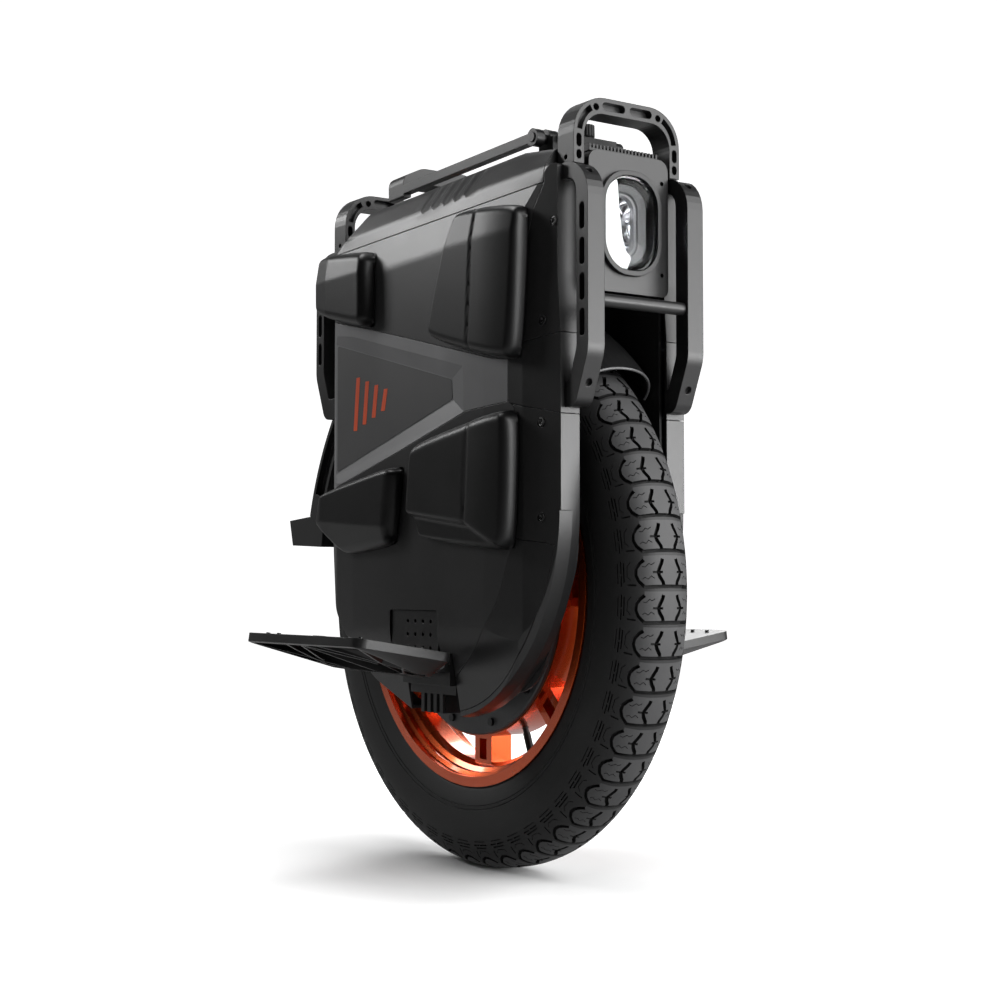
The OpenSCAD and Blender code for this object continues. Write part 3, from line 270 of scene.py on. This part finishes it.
def on_crown(v, h):
    """Radius and side of a point v along the crown from its middle, and h above it."""
    a = abs(v)
    r, y = np.interp(a, run, crown_r), np.interp(a, run, crown_y)
    dr, dy = np.interp(a, run, slope_r), np.interp(a, run, slope_y)
    k = math.hypot(dr, dy)
    return r + h * dy / k, math.copysign(1, v) * (y - h * dr / k)


flat = bmesh.new()
bmesh.ops.create_grid(flat, x_segments=steps, y_segments=44, size=0.5)
bmesh.ops.scale(flat, vec=(pitch, 2 * tread_half, 1), verts=flat.verts)
bmesh.ops.translate(flat, vec=(pitch / 2, 0, 0), verts=flat.verts)
raised(flat, flat.faces[:], (0, 0, -tread_thick))
bmesh.ops.recalc_face_normals(flat, faces=flat.faces)


def groove(bm, points, width, depth, side=1):
    """A cutter along a line of points, in mm along the tread and from its middle to one side."""
    outline = line_outline([(a * mm, b * mm) for a, b in points], width * mm)
    prism(bm, [(x, side * y) for x, y in outline], -depth * mm, mm)


# The deep grooves cross, so each kind has its own depth: floors in one plane would be divided in
# another way from run to run.
cross_groove = [(4, -27.5), (4.6, -14), (4.8, 0), (4.6, 14), (4, 27.5)]
deep_grooves = (
    ([(30.5, 27), (27, 31.5), (22, 35), (16, 35.5), (10, 33), (6, 29), (4, 26.5)], 3.5, 4.8),
    ([(31, 8.2), (27.5, 9.2), (23, 11.6), (18.5, 13.6), (14, 12), (9, 8.6), (4.6, 7.6)], 3.8, 4.6),
    ([(18.4, 8.5), (18.4, 19)], 2.2, 3.5),
)
fine_sipes = (
    ([(27.5, 17), (25.5, 20), (26.8, 22.5), (23.5, 26), (24.2, 29)], 0.8, 2),
    ([(12.5, 17.5), (14.8, 20.5), (11.8, 23.5), (13.6, 26.5), (12, 29)], 0.8, 2),
    ([(29, 40), (25, 43.6), (15, 44.2), (11, 40.5)], 0.8, 1.5),
    ([(6, 35), (6.4, 44)], 1.6, 2.5),
    ([(9, 47.5), (29, 47.5)], 1.5, 2.2),
    ([(5, 50.6), (16, 50.6)], 1.5, 2.2),
    ([(18, 50.6), (31, 50.6)], 1.5, 2.2),
    ([(8, 54.4), (29, 54.4)], 1.0, 1.5),
)
deep, shallow = bmesh.new(), bmesh.new()
groove(deep, cross_groove, 3.7, 5)
for s in (-1, 1):
    for points, width, depth in deep_grooves:
        groove(deep, points, width, depth, s)
    for points, width, depth in fine_sipes:
        groove(shallow, points, width, depth, s)
flat = cut_by(cut_by(flat, deep), shallow)

# Only the outer skin of the flat pitch is kept. The blocks inside the shoulder arches are paler.
edge = 1e-5
bmesh.ops.delete(flat, geom=[f for f in flat.faces if all(v.co.z < edge - tread_thick for v in f.verts)
                             or all(v.co.x < edge for v in f.verts)
                             or all(v.co.x > pitch - edge for v in f.verts)
                             or all(abs(v.co.y) > tread_half - edge for v in f.verts)], context="FACES")
arch_x = [a * mm for a in (3.9, 4, 6, 10, 16, 22, 27, 30.5)]
arch_y = [b * mm for b in (0, 26.5, 29, 33, 35.5, 35, 31.5, 27)]
shaded_groove_index, pale_index = 1, 2
tyre = bmesh.new()
for k in range(pitches):
    made = {}
    for v in flat.verts:
        r, y = on_crown(v.co.y, v.co.z)
        a = 2 * math.pi * (k + v.co.x / pitch) / pitches
        made[v] = tyre.verts.new((r * math.cos(a), y, r * math.sin(a)))
    for f in flat.faces:
        piece = tyre.faces.new([made[v] for v in f.verts])
        middle = f.calc_center_median()
        # Faces more than a millimetre below the tread's top take the darker groove rubber, a painted shade in
        # the grooves.
        if min(v.co.z for v in f.verts) < -groove_shade_depth:
            piece.material_index = shaded_groove_index
        elif abs(middle.y) < np.interp(middle.x, arch_x, arch_y):
            piece.material_index = pale_index
flat.free()
side = [on_crown(v, 0) for v in np.linspace(tread_half, run[-1], 8)] + [
    (0.2400, 0.0404), (0.2330, 0.0396), (0.2326, 0.0389), (0.2318, 0.0388), (0.2314, 0.0394), (0.2290, 0.0391),
    (0.2286, 0.0384), (0.2278, 0.0383), (0.2274, 0.0388), (0.2200, 0.0372), (0.2150, 0.0352), (0.2118, 0.0344),
    (0.2100, 0.0335), (0.2094, 0.0316), (0.2029, 0.0315), (0.2029, 0.0200), (0.2170, 0.0180), (0.2270, 0.0320),
    (0.2530, 0.0320), (0.2730, 0.0220), (0.2790, 0.0)]
ring = side + [(r, -y) for r, y in side[-2::-1]]
walls = bmesh.new()
line = [walls.verts.new((r, y, 0)) for r, y in ring]
edges = [walls.edges.new(ends) for ends in zip(line, line[1:])]
bmesh.ops.spin(walls, geom=line + edges, cent=(0, 0, 0), axis=(0, -1, 0), angle=2 * math.pi,
               steps=pitches * steps, use_merge=True)
spun = bpy.data.meshes.new("spun")
walls.to_mesh(spun)
walls.free()
tyre.from_mesh(spun)
bmesh.ops.remove_doubles(tyre, verts=tyre.verts, dist=2e-5)
bmesh.ops.recalc_face_normals(tyre, faces=tyre.faces)
bmesh.ops.translate(tyre, vec=(0, 0, axle_z), verts=tyre.verts)
for v in tyre.verts:
    v.co.z = max(v.co.z, 0.0)
tread = finished("tyre_tread", tyre, rubber("tyre_rubber", (0.008, 0.008, 0.0083), 0.6), "wheel",
                 smooth=30, replaces="tyre")
# The groove rubber is darker than the tread's: painted shade in the grooves.
tread.data.materials.append(rubber("groove_rubber_painted_shade", (0.002, 0.002, 0.0022), 0.8))
tread.data.materials.append(rubber("pale_crown_rubber", (0.040, 0.040, 0.041), 0.62))

# Leg pads: moulded foam rubber screwed to the sides. The front ones have a flat rear part, a crease
# and a rounded ridge in front; the rear ones are one block whose rear part turns round the corner.
pad_rubber = rubber("pad_foam", (0.0022, 0.0022, 0.0024), 0.38, gloss=0.35)
body_half, lean_z, shoulder_z, slope = 0.088, 0.650, 0.702, math.radians(1.7)
shoulder_in, corner_x, corner_in = 0.008, -0.190, 0.001
flat_x, frame_x, nose_in, nose_slope = 0.110, 0.175, 0.002, 0.0095 / 0.057
plinth, gap = 8 * mm, 0.9 * mm
edge_power, edge_in = 2.4, 0.015


def side_half(x, z):
    """Half the body's width where a pad sits."""
    zs = z * math.cos(slope) - x * math.sin(slope)
    lean = body_half
    if zs >= lean_z:
        lean -= (zs - lean_z) * shoulder_in / (shoulder_z - lean_z)
    if x < corner_x:
        return min(lean, body_half - corner_in - (corner_x - x) * 0.42)
    if x < flat_x:
        return lean
    if x < frame_x:
        return min(lean, body_half - (x - flat_x) * nose_in / (frame_x - flat_x))
    return min(lean, body_half - nose_in - (x - frame_x) * nose_slope)


def along_edge(points, t):
    """Point at share t of an edge of a pad, which is given by two or three points from low to high."""
    n = len(points) - 1
    i = min(int(t * n), n - 1)
    return Vector(points[i]).lerp(Vector(points[i + 1]), t * n - i) * mm


def beyond(line, p):
    """Distance in mm of a point to the right of a line, seen along it from its first point."""
    q, r = Vector(line[0]) * mm, Vector(line[1]) * mm
    d = (r - q).normalized()
    return (d.y * (p - q).x - d.x * (p - q).y) / mm


def pad(name, rear, front, drafts, height, crease=None, bends=(), shelf=(), cells=(72, 56)):
    """A crowned block between a rear and a front edge. drafts are the widths of its slopes at the
    bottom, front, top and rear; a bend is a line beyond which the face falls off at a slope, and
    below a shelf the block steps down to a thin plinth."""
    for s, side_name in ((-1, "right"), (1, "left")):
        bm = bmesh.new()
        bmesh.ops.create_grid(bm, x_segments=cells[0], y_segments=cells[1], size=1)
        wide = (Vector(front[0]) - Vector(rear[0])).length / 2
        high = (Vector(rear[-1]) - Vector(rear[0])).length / 2
        low = []
        for v in bm.verts:
            u, w = math.sin(v.co.x * math.pi / 2), math.sin(v.co.y * math.pi / 2)
            tu = min((1 - abs(u)) * wide / (drafts[1] if u > 0 else drafts[3]), 1)
            tw = min((1 - abs(w)) * high / (drafts[2] if w > 0 else drafts[0]), 1)
            t = max(1 - math.hypot(1 - tu, 1 - tw), 0)
            rise = (1 - (1 - t) ** edge_power) ** (1 / edge_power)
            u, w = u * (1 - edge_in * w ** 2 - 0.04 * w ** 6), w * (1 - edge_in * u ** 2 - 0.05 * u ** 6)
            p = along_edge(rear, w / 2 + 0.5).lerp(along_edge(front, w / 2 + 0.5), u / 2 + 0.5)
            base = side_half(p.x, p.y) + gap
            level = side_half(-0.1, p.y) + gap - base + height * mm
            if crease is not None:
                off = beyond(crease, p)
                level -= mm * (3.0 / (1 + math.exp(off / 1.4)) + 3.2 * math.exp(-((off + 0.8) / 2.4) ** 2))
                level -= mm * 0.0022 * max(off - 14, 0) ** 2
            for first, last, fall in bends:
                level -= mm * fall * max(beyond((first, last), p), 0)
            if shelf:
                off = min(beyond(line, p) for line in zip(shelf, shelf[1:]))
                step = 1 / (1 + math.exp(-(off - 3) / 0.9))
                level = level * (1 - step) + plinth * step
            v.co = (p.x, s * (base + level * rise), p.y)
            low.append((p.x, s * base, p.y))
        rim = [e for e in bm.edges if e.is_boundary]
        skirt = bmesh.ops.extrude_edge_only(bm, edges=rim)["geom"]
        spots = {tuple(round(x, 6) for x in (l[0], l[2])): l for l in low}
        for v in skirt:
            if isinstance(v, bmesh.types.BMVert):
                v.co = spots[tuple(round(x, 6) for x in (v.co.x, v.co.z))]
        bmesh.ops.holes_fill(bm, edges=[e for e in bm.edges if e.is_boundary])
        bmesh.ops.recalc_face_normals(bm, faces=bm.faces)
        o = finished(f"{name}_{side_name}_foam", bm, pad_rubber, "chassis", smooth=75,
                     replaces=f"{name}_{side_name}")


pad("pad_front_upper", [(22, 557), (73, 686)], [(176, 517), (187, 674)], (10, 9, 9, 8), 20,
    crease=((106, 510), (117, 690)))
pad("pad_rear_upper", [(-220, 612), (-220, 683)], [(-102, 583), (-104, 672)], (10, 12, 10, 7), 18,
    bends=(((-184, 700), (-184, 600), 0.16),))
pad("pad_front_lower", [(-4, 350), (-16, 380), (-9, 450)], [(166, 331), (172, 477)], (7, 9, 9, 8), 20,
    crease=((99, 330), (110, 490)), shelf=((-20, 379), (101, 364), (170, 334)))
pad("pad_rear_lower", [(-160, 333), (-217, 369), (-207, 405)], [(-54, 343), (-38, 431)], (10, 11, 9, 7), 17,
    bends=(((-216, 374), (-40, 362), 0.3), ((-192, 420), (-202, 330), 0.16)))

# Label plates: a thin matt sheet glued into the floor of each side's recess, with four slanting
# enamel bars on it that get shorter towards the front.
floor_y, sheet_thick, bar_thick = 84.52, 0.35, 0.2
plate_form = [(-192, 575), (46.5, 514), (48.5, 493), (-192, 429.5)]
bar_low, bar_high, bar_wide, bar_slant = 474, 534, 8, 6
bars = [[(x, bar_low + k), (x + bar_wide, bar_low + k), (x + bar_wide + bar_slant, bar_high - k),
         (x + bar_slant, bar_high - k)] for x, k in ((-155, 0), (-135, 6), (-115, 12), (-95, 18))]


def sheet_piece(name, outlines, y, thick, material, corner):
    """Flat pieces of one thickness whose outlines, [x, z] in mm, stand on a plane of constant y."""
    bm = bmesh.new()
    for points in outlines:
        face = bm.faces.new([bm.verts.new((x * mm, y * mm, z * mm)) for x, z in points])
        bmesh.ops.bevel(bm, geom=list(face.verts), offset=corner * mm, segments=5, profile=0.5,
                        affect="VERTICES", material=-1)
    raised(bm, bm.faces[:], (0, math.copysign(thick * mm, y), 0))
    bmesh.ops.recalc_face_normals(bm, faces=bm.faces)
    finished(name, bm, material, "chassis")


plate_finish = grained("label_sheet", (0.052, 0.052, 0.053), 0.5, 2200, 0.00008)
bar_enamel = grained("bar_enamel", (0.80, 0.09, 0.018), 0.4, 1500, 0.00003)
for s, side_name in ((-1, "right"), (1, "left")):
    sheet_piece(f"label_sheet_{side_name}", [plate_form], s * floor_y, sheet_thick, plate_finish,
                3)
    sheet_piece(f"label_bars_{side_name}", bars, s * (floor_y + sheet_thick), bar_thick, bar_enamel,
                0.8)

# Cap screws of the front frame: turned steel heads, blackened, each with a hexagon socket and a
# small rim chamfer, sunk in the stepped holes of the side.
head_r, head_deep, socket_r, head_proud = 4.6 * mm, 2.0 * mm, 2.7 * mm, 0.4 * mm
screw_places = ((0.217, 0.652), (0.202, 0.557), (0.200, 0.458), (0.200, 0.366))


def hex_screw(bm_out, x, z, s):
    """Adds the head of a cap screw that looks out of side s of the body."""
    head, socket = bmesh.new(), bmesh.new()
    bmesh.ops.create_cone(head, cap_ends=True, segments=40, radius1=head_r, radius2=head_r, depth=head_deep)
    rim = [e for e in head.edges if all(v.co.z > 0 for v in e.verts)]
    bmesh.ops.bevel(head, geom=rim, offset=0.5 * mm, segments=3, profile=0.5, affect="EDGES", material=-1)
    bmesh.ops.create_cone(socket, cap_ends=True, segments=6, radius1=socket_r, radius2=socket_r, depth=head_deep)
    bmesh.ops.translate(socket, verts=socket.verts, vec=(0, 0, 0.45 * head_deep))
    head = cut_by(head, socket)
    outwards = Matrix.Rotation(-s * math.pi / 2, 3, "X")
    bmesh.ops.rotate(head, verts=head.verts, cent=(0, 0, 0), matrix=outwards)
    out = side_half(x, z) + head_proud - head_deep / 2
    bmesh.ops.translate(head, verts=head.verts, vec=(x, s * out, z))
    made = {v: bm_out.verts.new(v.co) for v in head.verts}
    for f in head.faces:
        bm_out.faces.new([made[v] for v in f.verts])
    head.free()


screws = bmesh.new()
for s in (-1, 1):
    for x, z in screw_places:
        hex_screw(screws, x, z, s)
black_steel = grained("black_steel", (0.0015, 0.0015, 0.0015), 0.35, 900, 0.00005)
finished("cap_screws", screws, black_steel, "chassis", replaces="shell_screws")

# Headlight: a thin clear dome over a dark tunnel of nested rounded rings, with two bright thin
# rings, a chromed bowl and a glass projector lens in it. A white sheet at one side is a painted
# reflection of a softbox in the dome.
light_z = 0.655


def oval(bm, half_w, half_h, x, corner, n=10):
    """Loop of a rounded outline, sizes in mm, in a plane of constant x."""
    ring = []
    for cy, cz, a0 in ((1, 1, 0), (-1, 1, 90), (-1, -1, 180), (1, -1, 270)):
        for i in range(n + 1):
            a = math.radians(a0 + 90 * i / n)
            ring.append(bm.verts.new((x * mm, (cy * (half_w - corner) + corner * math.cos(a)) * mm,
                                      light_z + (cz * (half_h - corner) + corner * math.sin(a)) * mm)))
    return [bm.edges.new(ends) for ends in zip(ring, ring[1:] + ring[:1])]


def ring_piece(name, steps, material, back=False, replaces=()):
    """Turns a row of rounded loops into one wall, and closes its back where that is asked for."""
    bm = bmesh.new()
    loops = [oval(bm, w, h, x, c) for w, h, x, c in steps]
    for a, b in zip(loops, loops[1:]):
        bmesh.ops.bridge_loops(bm, edges=a + b)
    if back:
        bmesh.ops.holes_fill(bm, edges=loops[-1])
    bmesh.ops.recalc_face_normals(bm, faces=bm.faces)
    finished(name, bm, material, "chassis", replaces=replaces)


gloss = grained("gloss_black", (0.004, 0.004, 0.0045), 0.1, 300, 0.00002)
satin_ring = grained("satin_ring", (0.15, 0.15, 0.155), 0.35, 900, 0.00003, metal=0.3)
bright_ring = grained("bright_ring", (0.30, 0.30, 0.31), 0.3, 900, 0.00003, metal=0.4)
mirror = grained("reflector_chrome", (0.8, 0.8, 0.82), 0.08, 200, 0.00002, metal=1.0)
reflection_white = grained("painted_reflection_white", (0.80, 0.81, 0.82), 0.2, 200, 0.00002, shade=0.02)
clear_cover = grained("clear_cover", (0.97, 0.98, 0.98), 0.02, 90, 0.00001, shade=0.01)
shader(clear_cover, Transmission_Weight=1.0, IOR=1.12)
lens_glass = grained("lens_glass", (0.93, 0.95, 0.96), 0.02, 90, 0.00001, shade=0.01)
shader(lens_glass, Transmission_Weight=1.0)

# Each loop of a ring is its half width, half height, place from the axle and corner, in mm.
ring_piece("light_tunnel", [(32.8, 46.8, 235, 28.5), (30.5, 44.5, 235.2, 26.5), (29.5, 43.5, 232, 26),
                            (25.5, 39.5, 229, 23)], gloss, replaces="headlight_reflector")
ring_piece("light_ring", [(25.5, 39.5, 229, 23), (24.6, 38.6, 230.4, 22.4), (18, 33, 226.5, 16.5),
                          (17, 32, 223, 15.8)], satin_ring)
ring_piece("light_glow_ring", [(17, 32, 223, 15.8), (16.2, 31.2, 225.6, 15), (14.2, 29.6, 224.4, 13.4),
                               (13.6, 29, 219, 13)], bright_ring)
ring_piece("light_bowl", [(13.6, 29, 219, 13), (13, 27, 212, 12.6), (12.5, 24, 209, 12.2)], mirror,
           back=True)

# A flat white sheet inside one side of the dome: a painted reflection of a softbox.
reflection_x, reflection_thick = 231.5, 2.2
reflection_form = ((-30.5, 676), (-30.5, 634), (-24, 620), (-13, 611), (-2, 609), (4, 622), (-3, 628), (-7, 640),
              (-11, 668), (-13, 697), (-18, 697), (-26, 688))
reflection_mesh = bmesh.new()
face = reflection_mesh.faces.new([reflection_mesh.verts.new((reflection_x * mm, y * mm, z * mm)) for y, z in reflection_form])
bmesh.ops.bevel(reflection_mesh, geom=list(face.verts), offset=2 * mm, segments=3, profile=0.5, affect="VERTICES",
                material=-1)
raised(reflection_mesh, reflection_mesh.faces[:], (reflection_thick * mm, 0, 0))
bmesh.ops.recalc_face_normals(reflection_mesh, faces=reflection_mesh.faces)
finished("painted_reflection_sheet", reflection_mesh, reflection_white, "chassis", bevel=0.6 * mm)

ball_r, ball_x, ball_flat = 11.5 * mm, 215 * mm, 0.55
ball = bmesh.new()
bmesh.ops.create_uvsphere(ball, u_segments=40, v_segments=24, radius=ball_r)
bmesh.ops.scale(ball, verts=ball.verts, vec=(ball_flat, 1, 1))
bmesh.ops.translate(ball, verts=ball.verts, vec=(ball_x, 0, light_z))
finished("projector_lens", ball, lens_glass, "chassis", smooth=60)

dome_w, dome_h, dome_x, dome_rise, dome_end, dome_steps = 32.7, 46.7, 236.4, 6.0, 0.8, 8
dome = bmesh.new()
rings = []
for k in range(dome_steps + 1):
    t = math.sin(k / dome_steps * math.pi / 2)
    w, h = dome_w * (1 - t) + dome_end, dome_h * (1 - t) + dome_end
    rings.append(oval(dome, w, h, dome_x + dome_rise * (1 - (1 - t) ** 2), min(28.4, 0.86 * w)))
for a, b in zip(rings, rings[1:]):
    bmesh.ops.bridge_loops(dome, edges=a + b)
bmesh.ops.holes_fill(dome, edges=rings[-1])
bmesh.ops.recalc_face_normals(dome, faces=dome.faces)
lens = finished("lens_dome", dome, clear_cover, "chassis", smooth=80, replaces="headlight_lens")
wall = lens.modifiers.new("wall", "SOLIDIFY")
wall.thickness, wall.offset = 0.8 * mm, -1


# Finishes of the rigid parts: grained moulded shells, painted bars, a lacquered wheel, bright or
# blackened steel, and the parts inside the body. Each goes on the solids it names.
def coat(material, *names):
    for n in names:
        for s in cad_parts[n].material_slots:
            s.material = material


def moulded(name, colour, rough, scale=1400, bump=0.0002, round_edge=0.0008, metal=0.0):
    return grained(name, colour, rough, scale, bump, metal=metal, round_edge=round_edge)


shell = moulded("shell_plastic", (0.021, 0.021, 0.0215), 0.36)
coat(shell, "side_cover_right", "side_cover_left")
frame_plastic = moulded("frame_plastic", (0.012, 0.012, 0.0123), 0.33)
coat(frame_plastic, "front_frame_right", "front_frame_left", "front_panel", "rear_panel")
coat(moulded("trim_plastic", (0.17, 0.17, 0.174), 0.42), "trim_panel_right", "trim_panel_left")
black = moulded("black_plastic", (0.0035, 0.0035, 0.004), 0.5)
coat(black, "mudguard", "vent_strip", "lock_knob", "charge_cap", "tyre_valve")
# The inner fender is darker and duller than the other black plastic: painted shade for the dark cavity round the
# wheel.
fender_black_painted_shade = moulded("fender_black_painted_shade", (0.002, 0.002, 0.0022), 0.7)
shader(fender_black_painted_shade, Specular_IOR_Level=0.2)
coat(fender_black_painted_shade, "inner_fender")
bar = moulded("bar_paint", (0.012, 0.012, 0.0123), 0.36, 2600, 0.0001, 0.0012)
coat(bar, "front_hoop", "rear_hoop", "front_bumper_right", "front_bumper_left", "rear_bumper_right",
     "rear_bumper_left", "front_crossbar")
pedal_paint = moulded("pedal_paint", (0.0035, 0.0035, 0.0037), 0.42, 2600, 0.0001, 0.0010)
coat(pedal_paint, "pedal_brackets", "trolley_base", "trolley_handle")
lacquer = moulded("candy_lacquer", (0.64, 0.085, 0.010), 0.26, 500, 0.00005, metal=0.85)
shader(lacquer, Coat_Weight=0.6, Coat_Roughness=0.08)
coat(lacquer, "wheel_rim")
coat(moulded("cover_paint", (0.055, 0.055, 0.057), 0.4, 1800, 0.0001), "motor_covers")
bright = grained("bright_steel", (0.55, 0.55, 0.56), 0.3, 900, 0.00005, metal=1.0)
coat(bright, "hub_bearings", "axle", "shock_rods", "guide_rods", "pedal_pins")
coat(black_steel, "cover_bolts")
alloy = grained("dark_alloy", (0.10, 0.10, 0.105), 0.38, 1200, 0.00006, metal=0.9)
coat(alloy, "axle_blocks", "shock_bodies")
plate_coating = grained("plate_coating", (0.016, 0.016, 0.0165), 0.45, 1200, 0.00006)
coat(plate_coating, "frame_plate_right", "frame_plate_left")
iron = grained("core_iron", (0.16, 0.16, 0.17), 0.55, 700, 0.0002, metal=0.8)
coat(iron, "motor_rotor", "motor_stator")
coat(grained("bush_bronze", (0.45, 0.3, 0.12), 0.35, 900, 0.00005, metal=1.0), "guide_bushes")
# The battery packs keep a blue tint but are darkened as painted shade, for the dark inside of the body they are
# seen through.
coat(moulded("pack_wrap", (0.012, 0.016, 0.035), 0.5), "battery_packs")
coat(moulded("board_lacquer", (0.02, 0.12, 0.05), 0.35), "control_board")
bezel_gloss = moulded("bezel_gloss", (0.003, 0.003, 0.0033), 0.42, 300, 0.00002, 0.0012)
coat(bezel_gloss, "headlight_bezel", "display_panel")
coat(moulded("tail_red", (0.35, 0.01, 0.01), 0.15), "tail_light")
coat(moulded("button_plastic", (0.6, 0.12, 0.02), 0.4), "power_button")

# Pedals: cast alloy plates with a truss of ribs below, painted black. Below the plate's rim the
# outer walls lean inwards, as a casting's do; each turns on its hinge pin.
pedal_tilt, rim_x, hinge_y, hinge_z = math.radians(9), 0.048, 0.097, 0.219
wall_lean, wall_deep = 0.45, 0.015


def own_copy(node):
    """The mesh of a CAD node as a bmesh, with its loose triangles merged."""
    bm = bmesh.new()
    bm.from_mesh(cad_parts[node].data)
    bmesh.ops.remove_doubles(bm, verts=bm.verts, dist=2e-5)
    return bm


def split(bm, place, facing):
    """Adds a line of edges to a mesh where a plane meets it."""
    everything = bm.verts[:] + bm.edges[:] + bm.faces[:]
    bmesh.ops.bisect_plane(bm, geom=everything, plane_co=place, plane_no=facing, dist=1e-6)


for s, side_name in ((-1, "right"), (1, "left")):
    cast = own_copy(f"pedal_{side_name}")
    hinge = Vector((0, s * hinge_y, hinge_z))
    up = Vector((0, -s * math.sin(pedal_tilt), math.cos(pedal_tilt)))
    split(cast, hinge, up)
    split(cast, (rim_x, 0, 0), (1, 0, 0))
    split(cast, (-rim_x, 0, 0), (1, 0, 0))
    for v in cast.verts:
        below = -(v.co - hinge).dot(up)
        if below > 0 and abs(v.co.x) > rim_x:
            kept = 1 - wall_lean * min(below / wall_deep, 1)
            v.co.x = math.copysign(rim_x + (abs(v.co.x) - rim_x) * kept, v.co.x)
    bmesh.ops.triangulate(cast, faces=cast.faces[:])
    finished(f"pedal_cast_{side_name}", cast, pedal_paint, f"pedal_{side_name}", smooth=30,
             replaces=f"pedal_{side_name}")

# Top cover: a moulded lid over the electronics, with a rounded rail along each side of its top that
# the trolley handle folds down between. It is the solid's own shell with its side edges drawn up.
lid_top = shoulder_z - 0.0035
rail_y, rail_up = [0.0595, 0.061, 0.063, 0.0645, 0.066, 0.080], [0, 0.0058, 0.0086, 0.009, 0.0082, 0]
rail_x, rail_share = [-0.198, -0.178, 0.150, 0.190], [0.1, 1, 1, 0.1]
lid = own_copy("top_cover")
for x in (-185, -160, -130, -100, -70, -45, 60, 90, 120, 150):
    split(lid, (x * mm, 0, 0), (1, 0, 0))
for y in (59.5, 61, 63, 64.5, 66, 70, 75):
    for s in (-1, 1):
        split(lid, (0, s * y * mm, 0), (0, 1, 0))
for v in lid.verts:
    if v.co.z * math.cos(slope) - v.co.x * math.sin(slope) > lid_top:
        up = np.interp(abs(v.co.y), rail_y, rail_up)
        v.co.z += float(up * np.interp(v.co.x, rail_x, rail_share))
bmesh.ops.triangulate(lid, faces=lid.faces[:])
finished("top_lid", lid, shell, "chassis", smooth=30, replaces="top_cover")

# Fender bead: the rolled edge of the inner fender's front mouth, of the same plastic and moulded in one
# with it. It is a thin round bead along the fender's section, which leans forwards. Its light grey
# is a painted highlight along the edge, not the plastic's colour.
lean_front, mouth_r, mouth_h, mouth_half, mouth_power = math.radians(44), 0.278, 0.0368, 0.0473, 2.2
bead_r, bead_sides = 1.4 * mm, 8
bead = bmesh.new()
spine = []
for t in np.linspace(-math.pi / 2, math.pi / 2, 61):
    r = mouth_r + mouth_h * max(math.cos(t), 0) ** (2 / mouth_power)
    spine.append((r, math.copysign(mouth_half * abs(math.sin(t)) ** (2 / mouth_power), t)))
loops = []
for i, (r, y) in enumerate(spine):
    a, b = spine[max(i - 1, 0)], spine[min(i + 1, len(spine) - 1)]
    run_r, run_y = b[0] - a[0], b[1] - a[1]
    k = math.hypot(run_r, run_y)
    ring = []
    for j in range(bead_sides):
        w = 2 * math.pi * j / bead_sides
        rr, yy = r - bead_r * math.cos(w) * run_y / k, y + bead_r * math.cos(w) * run_r / k
        fwd = bead_r * math.sin(w)
        ring.append(bead.verts.new((rr * math.cos(lean_front) + fwd * math.sin(lean_front), yy,
                                    axle_z + rr * math.sin(lean_front) - fwd * math.cos(lean_front))))
    loops.append([bead.edges.new(ends) for ends in zip(ring, ring[1:] + ring[:1])])
for a, b in zip(loops, loops[1:]):
    bmesh.ops.bridge_loops(bead, edges=a + b)
for ends in (loops[0], loops[-1]):
    bmesh.ops.holes_fill(bead, edges=ends)
bmesh.ops.recalc_face_normals(bead, faces=bead.faces)
# The bead's light grey is a painted highlight along the fender's mouth.
bead_painted_highlight = moulded("bead_painted_highlight", (0.09, 0.09, 0.092), 0.3)
finished("fender_bead", bead, bead_painted_highlight, "carrier", smooth=60)
